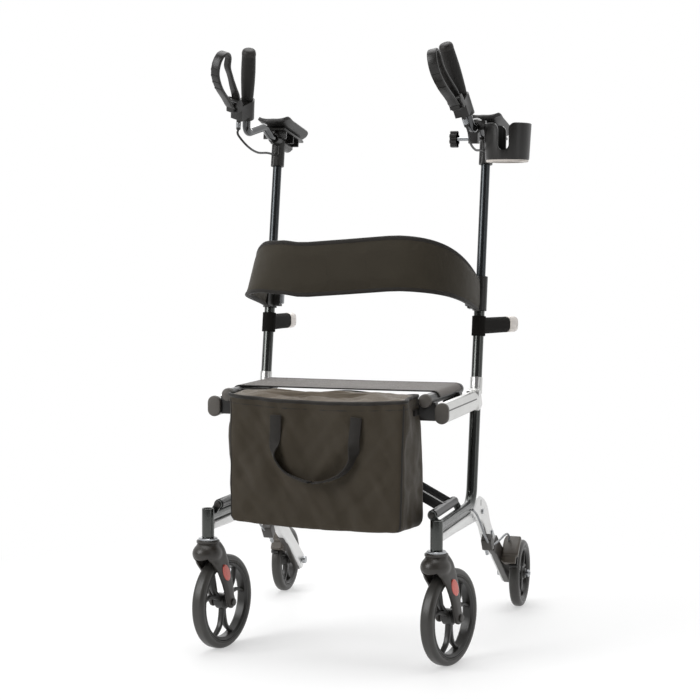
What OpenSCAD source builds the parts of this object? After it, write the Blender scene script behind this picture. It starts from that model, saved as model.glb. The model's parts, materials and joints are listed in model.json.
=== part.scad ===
// Upright walker with forearm rests, folding cross frame, seat sling, back strap, bag and cup holder.
// Millimetres, +Z up. The user faces -Y, so the user's left side is +X.
// The origin lies on the floor under the middle of the walker's box.

/* [Wheels] */
// Diameter of a front wheel over its tyre
front_wheel_d = 203; // [190:1:215]
// Width of a front tyre
front_tyre_w = 29; // [25:1:32]
// Diameter of a rear wheel over its tyre
rear_wheel_d = 160; // [150:1:170]
// Width of a rear tyre
rear_tyre_w = 25; // [22:1:27]
// Distance between the front and the rear axle with the casters straight
wheel_base = 603; // [590:1:620]
// Distance that a front wheel trails behind its swivel axis
caster_trail = 55; // [50:1:60]
// Turn of the left caster, trailing to the left
caster_turn_left = 16; // [0:1:20]
// Turn of the right caster, trailing to the left
caster_turn_right = 12; // [0:1:20]

/* [Side frames] */
// Distance from the middle of the walker to a side frame
frame_x = 250; // [246:1:262]
// Outer diameter of the frame tube
post_d = 24; // [24:0.5:26]
// Lean of the post towards the user
post_lean = 9.1; // [8:0.1:10]
// Length of the post from the lower beam to its top
post_len = 509; // [480:1:530]
// Height of the steering head tube
head_len = 62; // [56:1:70]
// Height from the top of a front tyre to the steering head
fork_rise = 46; // [44:1:54]
// Thickness of the cast rear leg
leg_w = 20; // [18:1:22]

/* [Seat] */
// Height of the middle of the seat tubes
seat_z = 552; // [545:1:565]
// Distance from the middle of the walker to a seat tube
seat_tube_x = 216; // [212:1:218]
// Outer diameter of a seat tube
seat_tube_d = 25; // [22:1:26]
// Length of the seat sling, front to back
seat_len = 242; // [200:1:250]
// Height of a seat rail
rail_h = 43; // [40:1:46]
// Width of a seat rail
rail_w = 28; // [27.5:0.5:31]

/* [Arm rests] */
// Height of an arm socket above the lower beam, along the post
arm_rise = 818; // [790:1:880]
// Length of an arm pad
pad_len = 172; // [150:1:200]
// Radius of the under side of an arm pad
pad_r = 50; // [48:1:54]
// Diameter of a handle tube
handle_d = 18; // [16:1:19]
// Length of a hand grip
grip_len = 120; // [110:1:124]
// Largest diameter of a hand grip
grip_d = 32; // [29:1:34]
// Turn of the left brake lever, outward
lever_toe_left = 0; // [0:1:12]
// Turn of the right brake lever, outward
lever_toe_right = 19; // [0:1:24]

/* [Back strap] */
// Height of the back strap at its middle
strap_h = 118; // [100:1:130]
// Distance that the back strap bulges ahead of the posts
strap_reach = 205; // [180:1:215]
// Thickness of the back strap
strap_t = 12; // [9:1:13]

/* [Bag and cup] */
// Width of the bag
bag_w = 392; // [340:1:394]
// Depth of the bag, front to back
bag_d = 112; // [90:1:118]
// Height of the bag
bag_h = 256; // [220:1:262]
// Inner diameter of the cup holder
cup_d = 88; // [80:1:92]
// Height of the cup holder
cup_h = 80; // [74:1:90]

/* [Hidden] */
$fn = 48;
// Facets of the rounded outlines
arc_n = 8;
// Overrun of every cut
over = 1;
// Gap between two pieces that are fixed to each other
fit_gap = 0.1;
// Radial play of a turning shaft
run_gap = 0.06;
// Play of a sliding fit, per side
slide_gap = 0.35;
// Play between faces that pass each other
pass_gap = 1;

// Wheel places
rear_axle_y = 321;
stem_y = rear_axle_y - wheel_base - caster_trail;
front_r = front_wheel_d / 2;
rear_r = rear_wheel_d / 2;
rear_wheel_out = 49;
rear_wheel_x = frame_x + rear_wheel_out;

// Steering head and lower beam
head_d = 26;
head_bore_d = 21;
head_bottom_z = front_wheel_d + fork_rise;
head_top_z = head_bottom_z + head_len;
beam_drop = 18;
beam_z = head_top_z - beam_drop;
post_r = post_d / 2;
inner_d = 20.6;
post_bore_d = inner_d + 2 * slide_gap;
post_foot_y = -10;
bend_r = 45;
function post_at(s) = [frame_x, post_foot_y + s * sin(post_lean), beam_z + s * cos(post_lean)];
function post_s(z) = (z - beam_z) / cos(post_lean);
function post_y(z) = post_foot_y + (z - beam_z) * tan(post_lean);

// Hinge rods of the cross frame
hinge_in = 15;
hinge_x = frame_x - hinge_in;
hinge_up = 24;
hinge_z = beam_z + hinge_up;
hinge_d = 12;
hinge_tube_d = 21;
hinge_front_y = -318;
hinge_rear_y = -112;
lug_t = 5;
brace_angle = atan((seat_z - hinge_z) / (hinge_x + seat_tube_x));
cross_z = hinge_z + hinge_x * tan(brace_angle);
brace_h = 20;
brace_t = 12;
brace_step = 14;
brace_front_y = -208;
brace_rear_y = -146;
cross_d = 10;
cross_boss_r = 14;
seat_tube_r = seat_tube_d / 2;
seat_tube_front_y = -308;
seat_tube_rear_y = 0;
seat_front_y = -245;
seat_t = 4;

// Rail
rail_z = 526;
rail_front_y = -302;
rail_cap_len = 12;
rail_wall = 2;
rail_end_y = -4;
rail_bend_r = 35;
rail_bend = 30;

// Cast leg
hub_y = 62;
hub_drop = 25;
hub_z = beam_z - hub_drop;
hub_r = 27;
leg_top_half = 21;
leg_end_half = 17;
leg_end_r = 23;
leg_out = 15;
leg_flare = atan(leg_out / (rear_axle_y - hub_y));
keel_h = 24;
keel_front_y = stem_y + head_d / 2 + fit_gap;

// Rear axle
axle_r = 5;
rear_hub_w = 30;
axle_nut_r = 9;
axle_nut_h = 7;
axle_tail = 3;
axle_reach = rear_wheel_x + rear_hub_w / 2 + pass_gap + axle_nut_h + axle_tail;

// Arm frame: origin on the post axis at the top of the arm socket
arm_o = post_at(arm_rise);
function arm_to(p) = arm_o + [p.x, p.y * cos(post_lean) + p.z * sin(post_lean),
    -p.y * sin(post_lean) + p.z * cos(post_lean)];
socket_len = 47;
socket_d = 31;
shaft_z = 13;
shaft_front_y = -38;
shaft_rear_y = 66;
barrel_d = 26;
base_z = 30;
base_t = 5;
pad_front_y = -57;
pad_t = 9;
pad_rise = 22;
handle_r = handle_d / 2;
handle_bend = 22;
handle_wall = 1.6;
grip_tilt = 36.6;
grip_in = 11.5;
grip_foot = [-7, -243.9, 54.2];
function tip(p) = [p.x, p.y * cos(grip_tilt) - p.z * sin(grip_tilt),
    p.y * sin(grip_tilt) + p.z * cos(grip_tilt)];
function lay(p) = [p.x * cos(grip_in) - p.z * sin(grip_in), p.y, p.x * sin(grip_in) + p.z * cos(grip_in)];
function toe(p, a) = [p.x * cos(a) - p.y * sin(a), p.x * sin(a) + p.y * cos(a), p.z];
function grip_to(p, a) = arm_to(grip_foot + tip(lay(toe(p, a))));
grip_line = tip(lay([0, 0, 1]));
stem_len = 84;
shaft_short = 8;
grip_cap = 3;
neck_foot = [0, -62, shaft_z];
neck_crest = [2, -100, 27];
handle_points = [[0, shaft_rear_y - shaft_short, shaft_z], neck_foot, neck_crest,
    grip_foot - stem_len * grip_line, grip_foot + (grip_len - grip_cap) * grip_line];

// Brake lever, in the grip's own frame
lever_pivot = [-50, 10];
lever_w = 20;
lever_pin_d = 6;
lever_band = 6;
clamp_len = 46;
clamp_d = 33;
ear_t = 5;
ear_gap = 0.5;

// Cup holder
cup_out = 77;
cup_y = -25;
cup_drop = 45;
cup_wall = 3.5;
cup_lip = 4.5;
cup_floor = 4;
cup_slot_w = 24;
cup_slot_share = 0.55;
cup_z = arm_o.z - cup_drop;
cup_x = frame_x + cup_out;
cup_r = cup_d / 2;
cup_foot_r = cup_r + cup_wall;
cup_top_r = cup_foot_r + cup_lip;
cup_share = 0.42;
clamp_p = handle_points[2] + cup_share * (handle_points[3] - handle_points[2]);

// Bag
bag_front_y = -392;
bag_rear_y = bag_front_y + bag_d;
bag_top_z = 544;
bag_wall = 3;
webbing_t = 3;
webbing_off = 0.9;
bag_side = 7.5;
bag_rear_w = min(bag_w, 2 * (seat_tube_x - seat_tube_r - bag_side));
function bag_half(y) = (bag_rear_w + (bag_w - bag_rear_w) * (bag_rear_y - y) / bag_d) / 2;

// Middle of the box
box_x = (cup_x + cup_top_r - axle_reach) / 2;
box_y = (rear_axle_y + rear_r + bag_front_y - webbing_off - webbing_t) / 2;

function unit(v) = v / norm(v);
function turn(p, i) = acos(unit(p[i] - p[i - 1]) * unit(p[i + 1] - p[i]));
function trim(p, i, r) = (i <= 0 || i >= len(p) - 1) ? 0 : r * tan(turn(p, i) / 2);
function arc(c, r, a, b, n = arc_n) = [for (i = [0 : n])
    let (w = a + (b - a) * i / n) c + r * [cos(w), sin(w)]];
function obround(w, h) = concat(arc([0, (h - w) / 2], w / 2, 0, 180),
    arc([0, (w - h) / 2], w / 2, 180, 360));
function box_ring(w, h, r) = let (x = w / 2 - r, y = h / 2 - r)
    concat(arc([x, y], r, 0, 90), arc([-x, y], r, 90, 180), arc([-x, -y], r, 180, 270),
        arc([x, -y], r, 270, 360));

// A piece of one side: s is 1 on the left and -1 on the right
module at_side(s) {
    translate([-box_x, -box_y, 0])
        if (s < 0) mirror([1, 0, 0]) children();
        else children();
}

// Stand a piece on a line
module along(p, d) {
    translate(p) rotate([0, acos(d.z / norm(d)), atan2(d.y, d.x)]) children();
}

// A rod between two points
module rod(p, q, r) {
    along(p, q - p) cylinder(r = r, h = norm(q - p));
}

// A rod along X, from x = a to x = b
module axle(a, b, r, y = 0, z = 0) {
    translate([a, y, z]) rotate([0, 90, 0]) cylinder(r = r, h = b - a);
}

// A rod along Y, from y = a to y = b
module rod_y(a, b, r, x = 0, z = 0) {
    translate([x, b, z]) rotate([90, 0, 0]) cylinder(r = r, h = b - a);
}

// A side outline in Y and Z, given a thickness from x = a to x = b
module side_plate(a, b) {
    translate([a, 0, 0]) rotate([90, 0, 90]) linear_extrude(b - a) children();
}

// A cross outline in X and Z, from y = a to y = b
module cross_plate(a, b) {
    translate([0, b, 0]) rotate([90, 0, 0]) linear_extrude(b - a) children();
}

// A block between two corners
module block(a, b) {
    translate(a) cube(b - a);
}

// A round bar along a path with rounded corners
module bent(p, r, bend) {
    for (i = [0 : len(p) - 2]) {
        d = unit(p[i + 1] - p[i]);
        rod(p[i] + trim(p, i, bend) * d, p[i + 1] - trim(p, i + 1, bend) * d, r);
    }
    for (i = [1 : len(p) - 2]) {
        a = unit(p[i] - p[i - 1]);
        b = unit(p[i + 1] - p[i]);
        n = unit(b - (a * b) * a);
        z = cross(-n, a);
        c = p[i] - trim(p, i, bend) * a + bend * n;
        multmatrix([[-n.x, a.x, z.x, c.x], [-n.y, a.y, z.y, c.y], [-n.z, a.z, z.z, c.z], [0, 0, 0, 1]])
            rotate_extrude(angle = turn(p, i)) translate([bend, 0]) circle(r = r);
    }
}

// A loft through equal rings of points
module loft(rings) {
    n = len(rings[0]);
    m = len(rings);
    points = [for (ring = rings) for (p = ring) p];
    sides = [for (j = [0 : m - 2]) for (i = [0 : n - 1])
        for (t = [0, 1]) t == 0 ? [j * n + (i + 1) % n, j * n + i, (j + 1) * n + i]
            : [(j + 1) * n + (i + 1) % n, j * n + (i + 1) % n, (j + 1) * n + i]];
    ends = [[for (i = [0 : n - 1]) i], [for (i = [n - 1 : -1 : 0]) (m - 1) * n + i]];
    polyhedron(points = points, faces = concat(sides, ends), convexity = 6);
}

// A flexible cable through points
cable_n = 8;
cable_step = 4;
function spline(a, b, c, d, t) = 0.5 * (2 * b + t * (c - a) + t * t * (2 * a - 5 * b + 4 * c - d)
    + t * t * t * (3 * b - a - 3 * c + d));
function smooth(p) = [for (i = [0 : len(p) - 2]) for (k = [0 : cable_step - 1])
    spline(p[max(i - 1, 0)], p[i], p[i + 1], p[min(i + 2, len(p) - 1)], k / cable_step)];
module sweep(q, r, n) {
    m = len(q) - 1;
    loft([for (i = [0 : m])
        let (d = unit(q[min(i + 1, m)] - q[max(i - 1, 0)]), u = unit(cross(d, [1, 0, 0])), v = cross(d, u))
        [for (k = [0 : n - 1]) q[i] + r * (cos(360 * k / n) * u + sin(360 * k / n) * v)]]);
}
module cable(p, r) {
    sweep(concat(smooth(p), [p[len(p) - 1]]), r, cable_n);
}

// Side frame: post, lower beam, steering head and hinge lugs in one welded piece
frame_path = [post_at(post_len), post_at(0), [frame_x, stem_y, beam_z]];
lug_w = 15;
lug_r = 9;
module post_line(grow) {
    bent([post_at(post_len + over), post_at(0), [frame_x, stem_y + head_d, beam_z]], grow, bend_r);
}
module hinge_lug(y) {
    a = atan2(hinge_up, -hinge_in);
    d = norm([hinge_up, hinge_in]);
    translate([frame_x, y, beam_z]) rotate([0, -a, 0])
        block([post_r - over, 0, -lug_w / 2], [d, lug_t, lug_w / 2]);
    rod_y(y, y + lug_t, lug_r, hinge_x, hinge_z);
}
module frame_tube(s) {
    color("#4b5056") at_side(s) difference() {
        union() {
            bent(frame_path, post_r, bend_r);
            translate([frame_x, stem_y, head_bottom_z]) cylinder(d = head_d, h = head_len);
            hinge_lug(hinge_front_y);
            hinge_lug(hinge_rear_y - lug_t);
        }
        post_line(post_bore_d / 2);
        translate([frame_x, stem_y, head_bottom_z - over]) cylinder(d = head_bore_d, h = head_len + 2 * over);
        rod_y(hinge_front_y - over, hinge_rear_y + over, hinge_d / 2 + fit_gap, hinge_x, hinge_z);
    }
}

// Cast leg: keel under the beam, hub behind the post and leg down to the rear axle
leg_run = (rear_axle_y - hub_y) / cos(leg_flare);
leg_end = [hub_y + leg_run, rear_r];
leg_dir = unit(leg_end - [hub_y, hub_z]);
leg_nor = [-leg_dir.y, leg_dir.x];
keel_top = beam_z - post_r - fit_gap;
keel_mid_y = -40;
module leg_plane() {
    translate([frame_x, hub_y, 0]) rotate([0, 0, -leg_flare]) translate([0, -hub_y, 0]) children();
}
module rear_leg(s) {
    hub = [hub_y, hub_z];
    color("#c9cbcd") at_side(s) difference() {
        union() {
            translate([frame_x, 0, 0]) side_plate(-leg_w / 2, leg_w / 2)
                polygon([[keel_front_y, keel_top - keel_h],
                    [keel_mid_y, keel_top - keel_h - leg_end_half / 2], [hub_y, hub_z - hub_r],
                    [hub_y, hub_z + hub_r], [keel_mid_y, keel_top], [keel_front_y, keel_top]]);
            axle(frame_x - leg_w / 2, frame_x + leg_w / 2, hub_r, hub_y, hub_z);
            leg_plane() {
                side_plate(-leg_w / 2, leg_w / 2)
                    polygon([hub + leg_top_half * leg_nor, hub - leg_top_half * leg_nor,
                        leg_end - leg_end_half * leg_nor, leg_end + leg_end_half * leg_nor]);
                axle(-leg_w / 2, leg_w / 2, leg_end_r, leg_end.x, leg_end.y);
            }
        }
        post_line(post_r + fit_gap);
        translate([frame_x, stem_y, head_bottom_z - over])
            cylinder(d = head_d + 2 * fit_gap, h = head_len + 2 * over);
        axle(frame_x - leg_w, rear_wheel_x, axle_r + fit_gap, rear_axle_y, rear_r);
    }
}

// Seat rail: flat tube whose rear end forks round the post
post_band_t = 2.4;
post_band_h = 36;
post_band_up = 14;
module rail_hook() {
    c = [rail_end_y, rail_z + rail_h / 2 + rail_bend_r];
    polygon(concat(arc(c, rail_bend_r + rail_h, 270, 270 + rail_bend),
        arc(c, rail_bend_r, 270 + rail_bend, 270)));
}
module seat_rail(s) {
    color("#c9cbcd") at_side(s) difference() {
        union() {
            translate([frame_x, 0, rail_z]) cross_plate(rail_front_y + rail_cap_len, rail_end_y)
                polygon(obround(rail_w, rail_h));
            translate([frame_x, 0, 0]) side_plate(-rail_w / 2, rail_w / 2) rail_hook();
            along(post_at(post_s(rail_z) + post_band_up), post_at(1) - post_at(0))
                cylinder(r = rail_w / 2, h = post_band_h);
        }
        translate([frame_x, 0, rail_z]) cross_plate(rail_front_y, rail_end_y - post_d)
            polygon(obround(rail_w - 2 * rail_wall, rail_h - 2 * rail_wall));
        rod(post_at(0), post_at(post_len), post_r + fit_gap);
        along(post_at(post_s(rail_z) + post_band_up + post_band_t), post_at(1) - post_at(0))
            translate([0, -rail_w, 0]) cube([2 * rail_w, 2 * rail_w, post_band_h]);
    }
}

// Rail end cap and the two saddles that carry a seat tube, with the pegs that hold the bag
saddle_l = 22;
saddle_front_y = -296;
saddle_rear_y = -70;
saddle_in = 6;
saddle_h = 42;
saddle_top = 4;
peg_r = 6;
peg_w = 5;
peg_len = 34;
peg_play = 0.8;
peg_drop = 24;
plug_len = 20;
module saddle(y) {
    difference() {
        block([seat_tube_x - seat_tube_r - saddle_in, y, seat_z - saddle_h],
            [frame_x - rail_w / 2 - fit_gap, y + saddle_l, seat_z - saddle_top]);
        rod_y(y - over, y + saddle_l + over, seat_tube_r + slide_gap, seat_tube_x, seat_z);
        block([seat_tube_x - seat_tube_r - saddle_in - over, y - over, seat_z - seat_tube_r / 2],
            [seat_tube_x, y + saddle_l + over, seat_z]);
    }
}
module rail_fittings(s) {
    peg_front_y = saddle_front_y - peg_len;
    peg_x = bag_half(peg_front_y) + peg_play;
    peg_out = max(peg_x, seat_tube_x - seat_tube_r - saddle_in) + peg_w;
    color("#26272a") at_side(s) {
        translate([frame_x, 0, rail_z]) {
            cross_plate(rail_front_y, rail_front_y + rail_cap_len - fit_gap)
                polygon(obround(rail_w, rail_h));
            cross_plate(rail_front_y + rail_cap_len / 2, rail_front_y + plug_len)
                polygon(obround(rail_w - 2 * rail_wall - 2 * fit_gap, rail_h - 2 * rail_wall - 2 * fit_gap));
        }
        saddle(saddle_front_y);
        saddle(saddle_rear_y);
        block([peg_x, peg_front_y, seat_z - peg_drop - peg_r],
            [peg_out, saddle_front_y + over, seat_z - peg_drop + peg_r]);
    }
}

// Clamp at the top of the post: holds the back strap and guides the inner post
clamp_h = 72;
clamp_r = 16;
clamp_cap = 5;
strap_in = 2;
ear_len = 46;
ear_plate = 3;
strap_play = 0.6;
button_w = 14;
button_h = 26;
button_out = 7;
button_up = 22;
boss_x = 26;
boss_w = 22;
boss_h = 36;
module on_post(s) {
    along(post_at(s), post_at(1) - post_at(0)) rotate([0, 0, -90]) children();
}
module strap_clamp(s) {
    foot = post_len - clamp_h;
    ear_x = -strap_in - strap_t / 2 - strap_play;
    color("#2b2c2f") at_side(s) on_post(foot) difference() {
        union() {
            cylinder(r = clamp_r, h = clamp_h + clamp_cap);
            block([ear_x - ear_plate, -ear_len, 0], [ear_x, 0, clamp_h]);
            block([-boss_x, -boss_w / 2, button_up - boss_h / 2], [0, boss_w / 2, button_up + boss_h / 2]);
        }
        translate([0, 0, -over]) cylinder(r = post_r + fit_gap, h = clamp_h + over + fit_gap);
        cylinder(d = post_bore_d, h = clamp_h + clamp_cap + over);
        block([-boss_x - over, -button_w / 2 - slide_gap, button_up - button_h / 2 - slide_gap],
            [-post_r, button_w / 2 + slide_gap, button_up + button_h / 2 + slide_gap]);
    }
}

// Press button of the height lock, on the inner side of the clamp
button_travel = 3;
module height_button(s) {
    color("#8d9094") at_side(s) on_post(post_len - clamp_h)
        block([-boss_x - button_out, -button_w / 2, button_up - button_h / 2],
            [-post_r - button_travel - slide_gap - fit_gap, button_w / 2, button_up + button_h / 2]);
}

// Stand assist handle behind the post
assist_drop = 107;
assist_z = post_at(post_len - assist_drop).z;
assist_len = 262;
assist_w = 24;
assist_h = 37;
assist_yaw = 6.7;
assist_pitch = 1.5;
assist_sleeve = 44;
assist_sleeve_r = 15.5;
assist_round = 7;
module assist_handle(s) {
    color("#232427") at_side(s) difference() {
        union() {
            on_post(post_s(assist_z) - assist_sleeve / 2) cylinder(r = assist_sleeve_r, h = assist_sleeve);
            translate([frame_x, post_y(assist_z), assist_z]) rotate([-assist_pitch, 0, -assist_yaw]) {
                cross_plate(0, assist_len - assist_round) polygon(obround(assist_w, assist_h));
                cross_plate(assist_len - assist_round - over, assist_len)
                    polygon(obround(assist_w - assist_round, assist_h - assist_round));
            }
        }
        rod(post_at(0), post_at(post_len), post_r + fit_gap);
    }
}

// Steel fittings of a side frame: rear axle, head bearings, hinge rod, bolts
bearing_h = 8;
bolt_r = 6;
bolt_h = 3;
king_r = 6;
spacer_r = 8;
hub_gap = 0.5;
rear_inner_x = rear_wheel_x - rear_hub_w / 2;
module bolt_head(y, z) {
    axle(leg_w / 2 + fit_gap, leg_w / 2 + bolt_h, bolt_r, y, z);
}
module bearing(z) {
    translate([frame_x, stem_y, z]) difference() {
        cylinder(r = head_bore_d / 2 - fit_gap, h = bearing_h);
        translate([0, 0, -over]) cylinder(r = king_r + run_gap, h = bearing_h + 2 * over);
    }
}
module frame_hardware(s) {
    out_x = frame_x + leg_out;
    in_x = out_x - leg_w / 2 - bolt_h;
    color("#9b9ea2") at_side(s) {
        axle(in_x, axle_reach, axle_r, rear_axle_y, rear_r);
        axle(in_x - axle_nut_h, in_x + over, axle_nut_r, rear_axle_y, rear_r);
        axle(out_x + leg_w / 2 + bolt_h, rear_inner_x - hub_gap, spacer_r, rear_axle_y, rear_r);
        axle(axle_reach - axle_tail - axle_nut_h, axle_reach - axle_tail, axle_nut_r, rear_axle_y, rear_r);
        bearing(head_bottom_z + over);
        bearing(head_top_z - bearing_h - axle_nut_h);
        rod_y(hinge_front_y - bolt_h, hinge_rear_y + bolt_h, hinge_d / 2, hinge_x, hinge_z);
        translate([frame_x + bolt_r * tan(leg_flare), 0, 0]) bolt_head(hub_y, hub_z);
        leg_plane() bolt_head(hub_y + leg_run / 3, hub_z + (rear_r - hub_z) / 3);
    }
}

// Caster: fork with rounded crown over the front wheel, reflectors on both legs
crown_w = 53;
crown_gap = 4;
crown_round = 17;
collar_r = 23.5;
collar_h = 14;
fork_top_z = head_bottom_z - pass_gap;
crown_top_z = fork_top_z - collar_h;
crown_z = front_wheel_d + crown_gap;
fork_front = 24;
fork_nose_r = 13;
fork_nose_in = 14;
fork_nose_drop = 16;
fork_nose_flat = 4;
fork_heel_r = 17;
fork_heel_drop = 18;
knee_drop = 42;
knee_in = 8;
knee_back = 20;
fork_end_r = 14;
lens_r = 9;
lens_t = 1.4;
lens_back = 24;
lens_up = 50;
king_head_r = 10;
king_head_h = 6;
front_axle_r = 4;
front_axle_cap_r = 8;
front_axle_cap_h = 5;
fork_knee_z = crown_top_z - knee_drop;
module at_caster(s) {
    translate([-box_x, -box_y, 0]) translate([s * frame_x, stem_y, 0])
        rotate([0, 0, s > 0 ? -caster_turn_left : -caster_turn_right]) children();
}
module fork_side() {
    polygon(concat([[fork_front, crown_top_z], [fork_nose_flat - fork_front, crown_top_z]],
        arc([fork_nose_in - fork_front, crown_top_z - fork_nose_drop], fork_nose_r, 150, 200),
        [[knee_in - fork_front, fork_knee_z]],
        arc([caster_trail, front_r], fork_end_r, 190, 380), [[fork_front + knee_back, fork_knee_z]],
        arc([fork_front - over, crown_top_z - fork_heel_drop], fork_heel_r, 0, 60)));
}
module caster_fork(s) {
    color("#3a3b3d") at_caster(s) {
        difference() {
            union() {
                intersection() {
                    side_plate(-crown_w / 2, crown_w / 2) fork_side();
                    cross_plate(-front_wheel_d, front_wheel_d) translate([0, crown_top_z - front_wheel_d / 2])
                        polygon(box_ring(crown_w, front_wheel_d, crown_round));
                }
                translate([0, 0, crown_top_z - over]) cylinder(r = collar_r, h = collar_h + over);
            }
            block([-front_tyre_w / 2 - crown_gap, -front_wheel_d, 0],
                [front_tyre_w / 2 + crown_gap, front_wheel_d, crown_z - crown_gap]);
            translate([0, 0, crown_z - crown_gap - over]) cylinder(r = king_r + fit_gap, h = front_wheel_d);
            translate([0, 0, crown_z - crown_gap - over])
                cylinder(r = king_head_r + fit_gap, h = king_head_h + over + fit_gap);
            axle(-crown_w, crown_w, front_axle_r + fit_gap, caster_trail, front_r);
        }
        axle(-crown_w / 2 - lens_t, -crown_w / 2 - fit_gap, lens_r, lens_back, front_r + lens_up);
        axle(crown_w / 2 + fit_gap, crown_w / 2 + lens_t, lens_r, lens_back, front_r + lens_up);
    }
}

// Caster steel: king pin with nut, front axle with its caps
module caster_hardware(s) {
    pin_foot = crown_z - crown_gap;
    color("#a7a9ac") at_caster(s) {
        translate([0, 0, pin_foot]) cylinder(r = king_r, h = head_top_z - pin_foot - bolt_h);
        translate([0, 0, pin_foot]) cylinder(r = king_head_r, h = king_head_h);
        translate([0, 0, head_top_z - axle_nut_h + over / 2])
            cylinder(r = axle_nut_r, h = axle_nut_h - bolt_h);
        axle(-crown_w / 2 - over, crown_w / 2 + over, front_axle_r, caster_trail, front_r);
        axle(-crown_w / 2 - front_axle_cap_h, -crown_w / 2 - fit_gap, front_axle_cap_r, caster_trail, front_r);
        axle(crown_w / 2 + fit_gap, crown_w / 2 + front_axle_cap_h, front_axle_cap_r, caster_trail, front_r);
    }
}

// Wheel pieces, axis along Z
tyre_t = 17;
tyre_round = 9;
rim_t = 7;
rim_side = 3;
hub_outer_r = 17;
front_hub_w = front_tyre_w + crown_gap;
spoke_spread = 21;
spoke_w = 9;
spoke_t = 14;
spoke_count = 3;
module tyre_ring(r, w) {
    e = w / 2 - tyre_round;
    c = r - tyre_round;
    rotate_extrude($fn = 96) polygon(concat([[r - tyre_t, over - w / 2], [c, -w / 2]],
        arc([c, -e], tyre_round, 270, 360), arc([c, e], tyre_round, 0, 90), [[r - tyre_t, w / 2 - over]]));
}
module spoke(r, side) {
    q = r * [cos(side * spoke_spread), sin(side * spoke_spread)];
    e = [0, side * spoke_w / 2];
    translate([0, 0, -spoke_t / 2]) linear_extrude(spoke_t) polygon([e, -e, q - e, q + e]);
}
module rim_body(r, w, hub_w, bore) {
    rim_r = r - tyre_t - fit_gap;
    difference() {
        union() {
            difference() {
                cylinder(r = rim_r, h = w - 2 * rim_side, center = true, $fn = 96);
                cylinder(r = rim_r - rim_t, h = w, center = true, $fn = 96);
            }
            cylinder(r = hub_outer_r, h = hub_w - 2 * hub_gap, center = true);
            for (k = [0 : spoke_count - 1]) rotate([0, 0, 360 * k / spoke_count])
                for (side = [-1, 1]) spoke(rim_r - rim_t / 2, side);
        }
        cylinder(r = bore, h = 2 * hub_w, center = true);
    }
}
module front_wheel(s) {
    at_caster(s) translate([0, caster_trail, front_r]) rotate([0, 90, 0]) children();
}
module rear_wheel(s) {
    at_side(s) translate([rear_wheel_x, rear_axle_y, rear_r]) rotate([0, 90, 0]) children();
}
module front_rim(s) {
    color("#57595c") front_wheel(s) rim_body(front_r, front_tyre_w, front_hub_w, front_axle_r + run_gap);
}
module front_tyre(s) {
    color("#3b3b3c") front_wheel(s) tyre_ring(front_r, front_tyre_w);
}
module rear_rim(s) {
    color("#57595c") rear_wheel(s) rim_body(rear_r, rear_tyre_w, rear_hub_w, axle_r + run_gap);
}
module rear_tyre(s) {
    color("#3b3b3c") rear_wheel(s) tyre_ring(rear_r, rear_tyre_w);
}

// Brake: housing over the front of the rear tyre and a shoe on a pin inside it
shoe_gap = 2.5;
shoe_t = 8;
shoe_w = 18;
shoe_share = 0.33;
shoe_from = 124;
shoe_to = 150;
pin_at = 158;
pin_r = 3;
pin_up = 7;
eye_r = 5;
house_from = 116;
house_to = 169;
house_gap = 13;
house_t = 16;
house_wall = 5;
house_share = 0.8;
house_x0 = frame_x + leg_w / 2 + leg_out * house_share;
house_x1 = rear_wheel_x + rear_tyre_w / 2 - pass_gap;
wheel_c = [rear_axle_y, rear_r];
pin_c = wheel_c + (rear_r + pin_up) * [cos(pin_at), sin(pin_at)];
function sector(r0, r1, a, b) = concat(arc(wheel_c, r1, a, b), arc(wheel_c, r0, b, a));
module brake_housing(s) {
    r_in = rear_r + house_gap;
    color("#45423d") at_side(s) {
        difference() {
            union() {
                side_plate(house_x0 - house_wall, house_x1)
                    polygon(sector(r_in, r_in + house_t, house_from, house_to));
                side_plate(house_x0 - house_wall, rear_wheel_x - shoe_w / 2 - pass_gap)
                    polygon(sector(rear_r - house_gap, r_in + over, house_from, house_to));
                axle(house_x0, house_x1 - pass_gap, pin_r, pin_c.x, pin_c.y);
            }
            axle(rear_wheel_x - rear_tyre_w / 2 - pass_gap, axle_reach, rear_r + pass_gap, rear_axle_y, rear_r);
            leg_plane()
                block([-leg_w, -rear_axle_y, 0], [leg_w / 2 + fit_gap, 2 * rear_axle_y, rear_axle_y]);
        }
    }
}
module brake_shoe(s) {
    r_in = rear_r + shoe_gap;
    color("#2a2a2b") at_side(s) difference() {
        union() {
            side_plate(rear_wheel_x - shoe_w / 2, rear_wheel_x + shoe_w / 2) {
                polygon(sector(r_in, r_in + shoe_t, shoe_from, shoe_to));
                polygon(sector(r_in + shoe_share * shoe_t, r_in + shoe_t, (shoe_from + shoe_to) / 2, pin_at));
            }
            axle(rear_wheel_x - shoe_w / 2, rear_wheel_x + shoe_w / 2, eye_r, pin_c.x, pin_c.y);
        }
        axle(house_x0, axle_reach, pin_r + run_gap, pin_c.x, pin_c.y);
    }
}

// Brake cable from the lower beam to the brake
cable_r = 2.5;
cable_lay = 0.3;
brake_way = [[2.5, -62, -2], [4, -26, -18], [6, 10, -46], [8, 52, -82], [9, 110, -110], [13, 172, -112],
    [21, 222, -103]];
brake_end = 125;
brake_dip = 16;
cable_in = 14;
function brake_exit(h) = let (r = rear_r + house_gap + house_t + cable_lay + h)
    [rear_wheel_x - cable_in, rear_axle_y + r * cos(brake_end), rear_r + r * sin(brake_end)];
module brake_cable(s) {
    start = [frame_x + post_r + cable_lay, 0, beam_z];
    color("#8f9194") at_side(s)
        cable(concat([for (p = brake_way) start + p], [brake_exit(brake_dip), brake_exit(0)]), cable_r);
}

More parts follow.
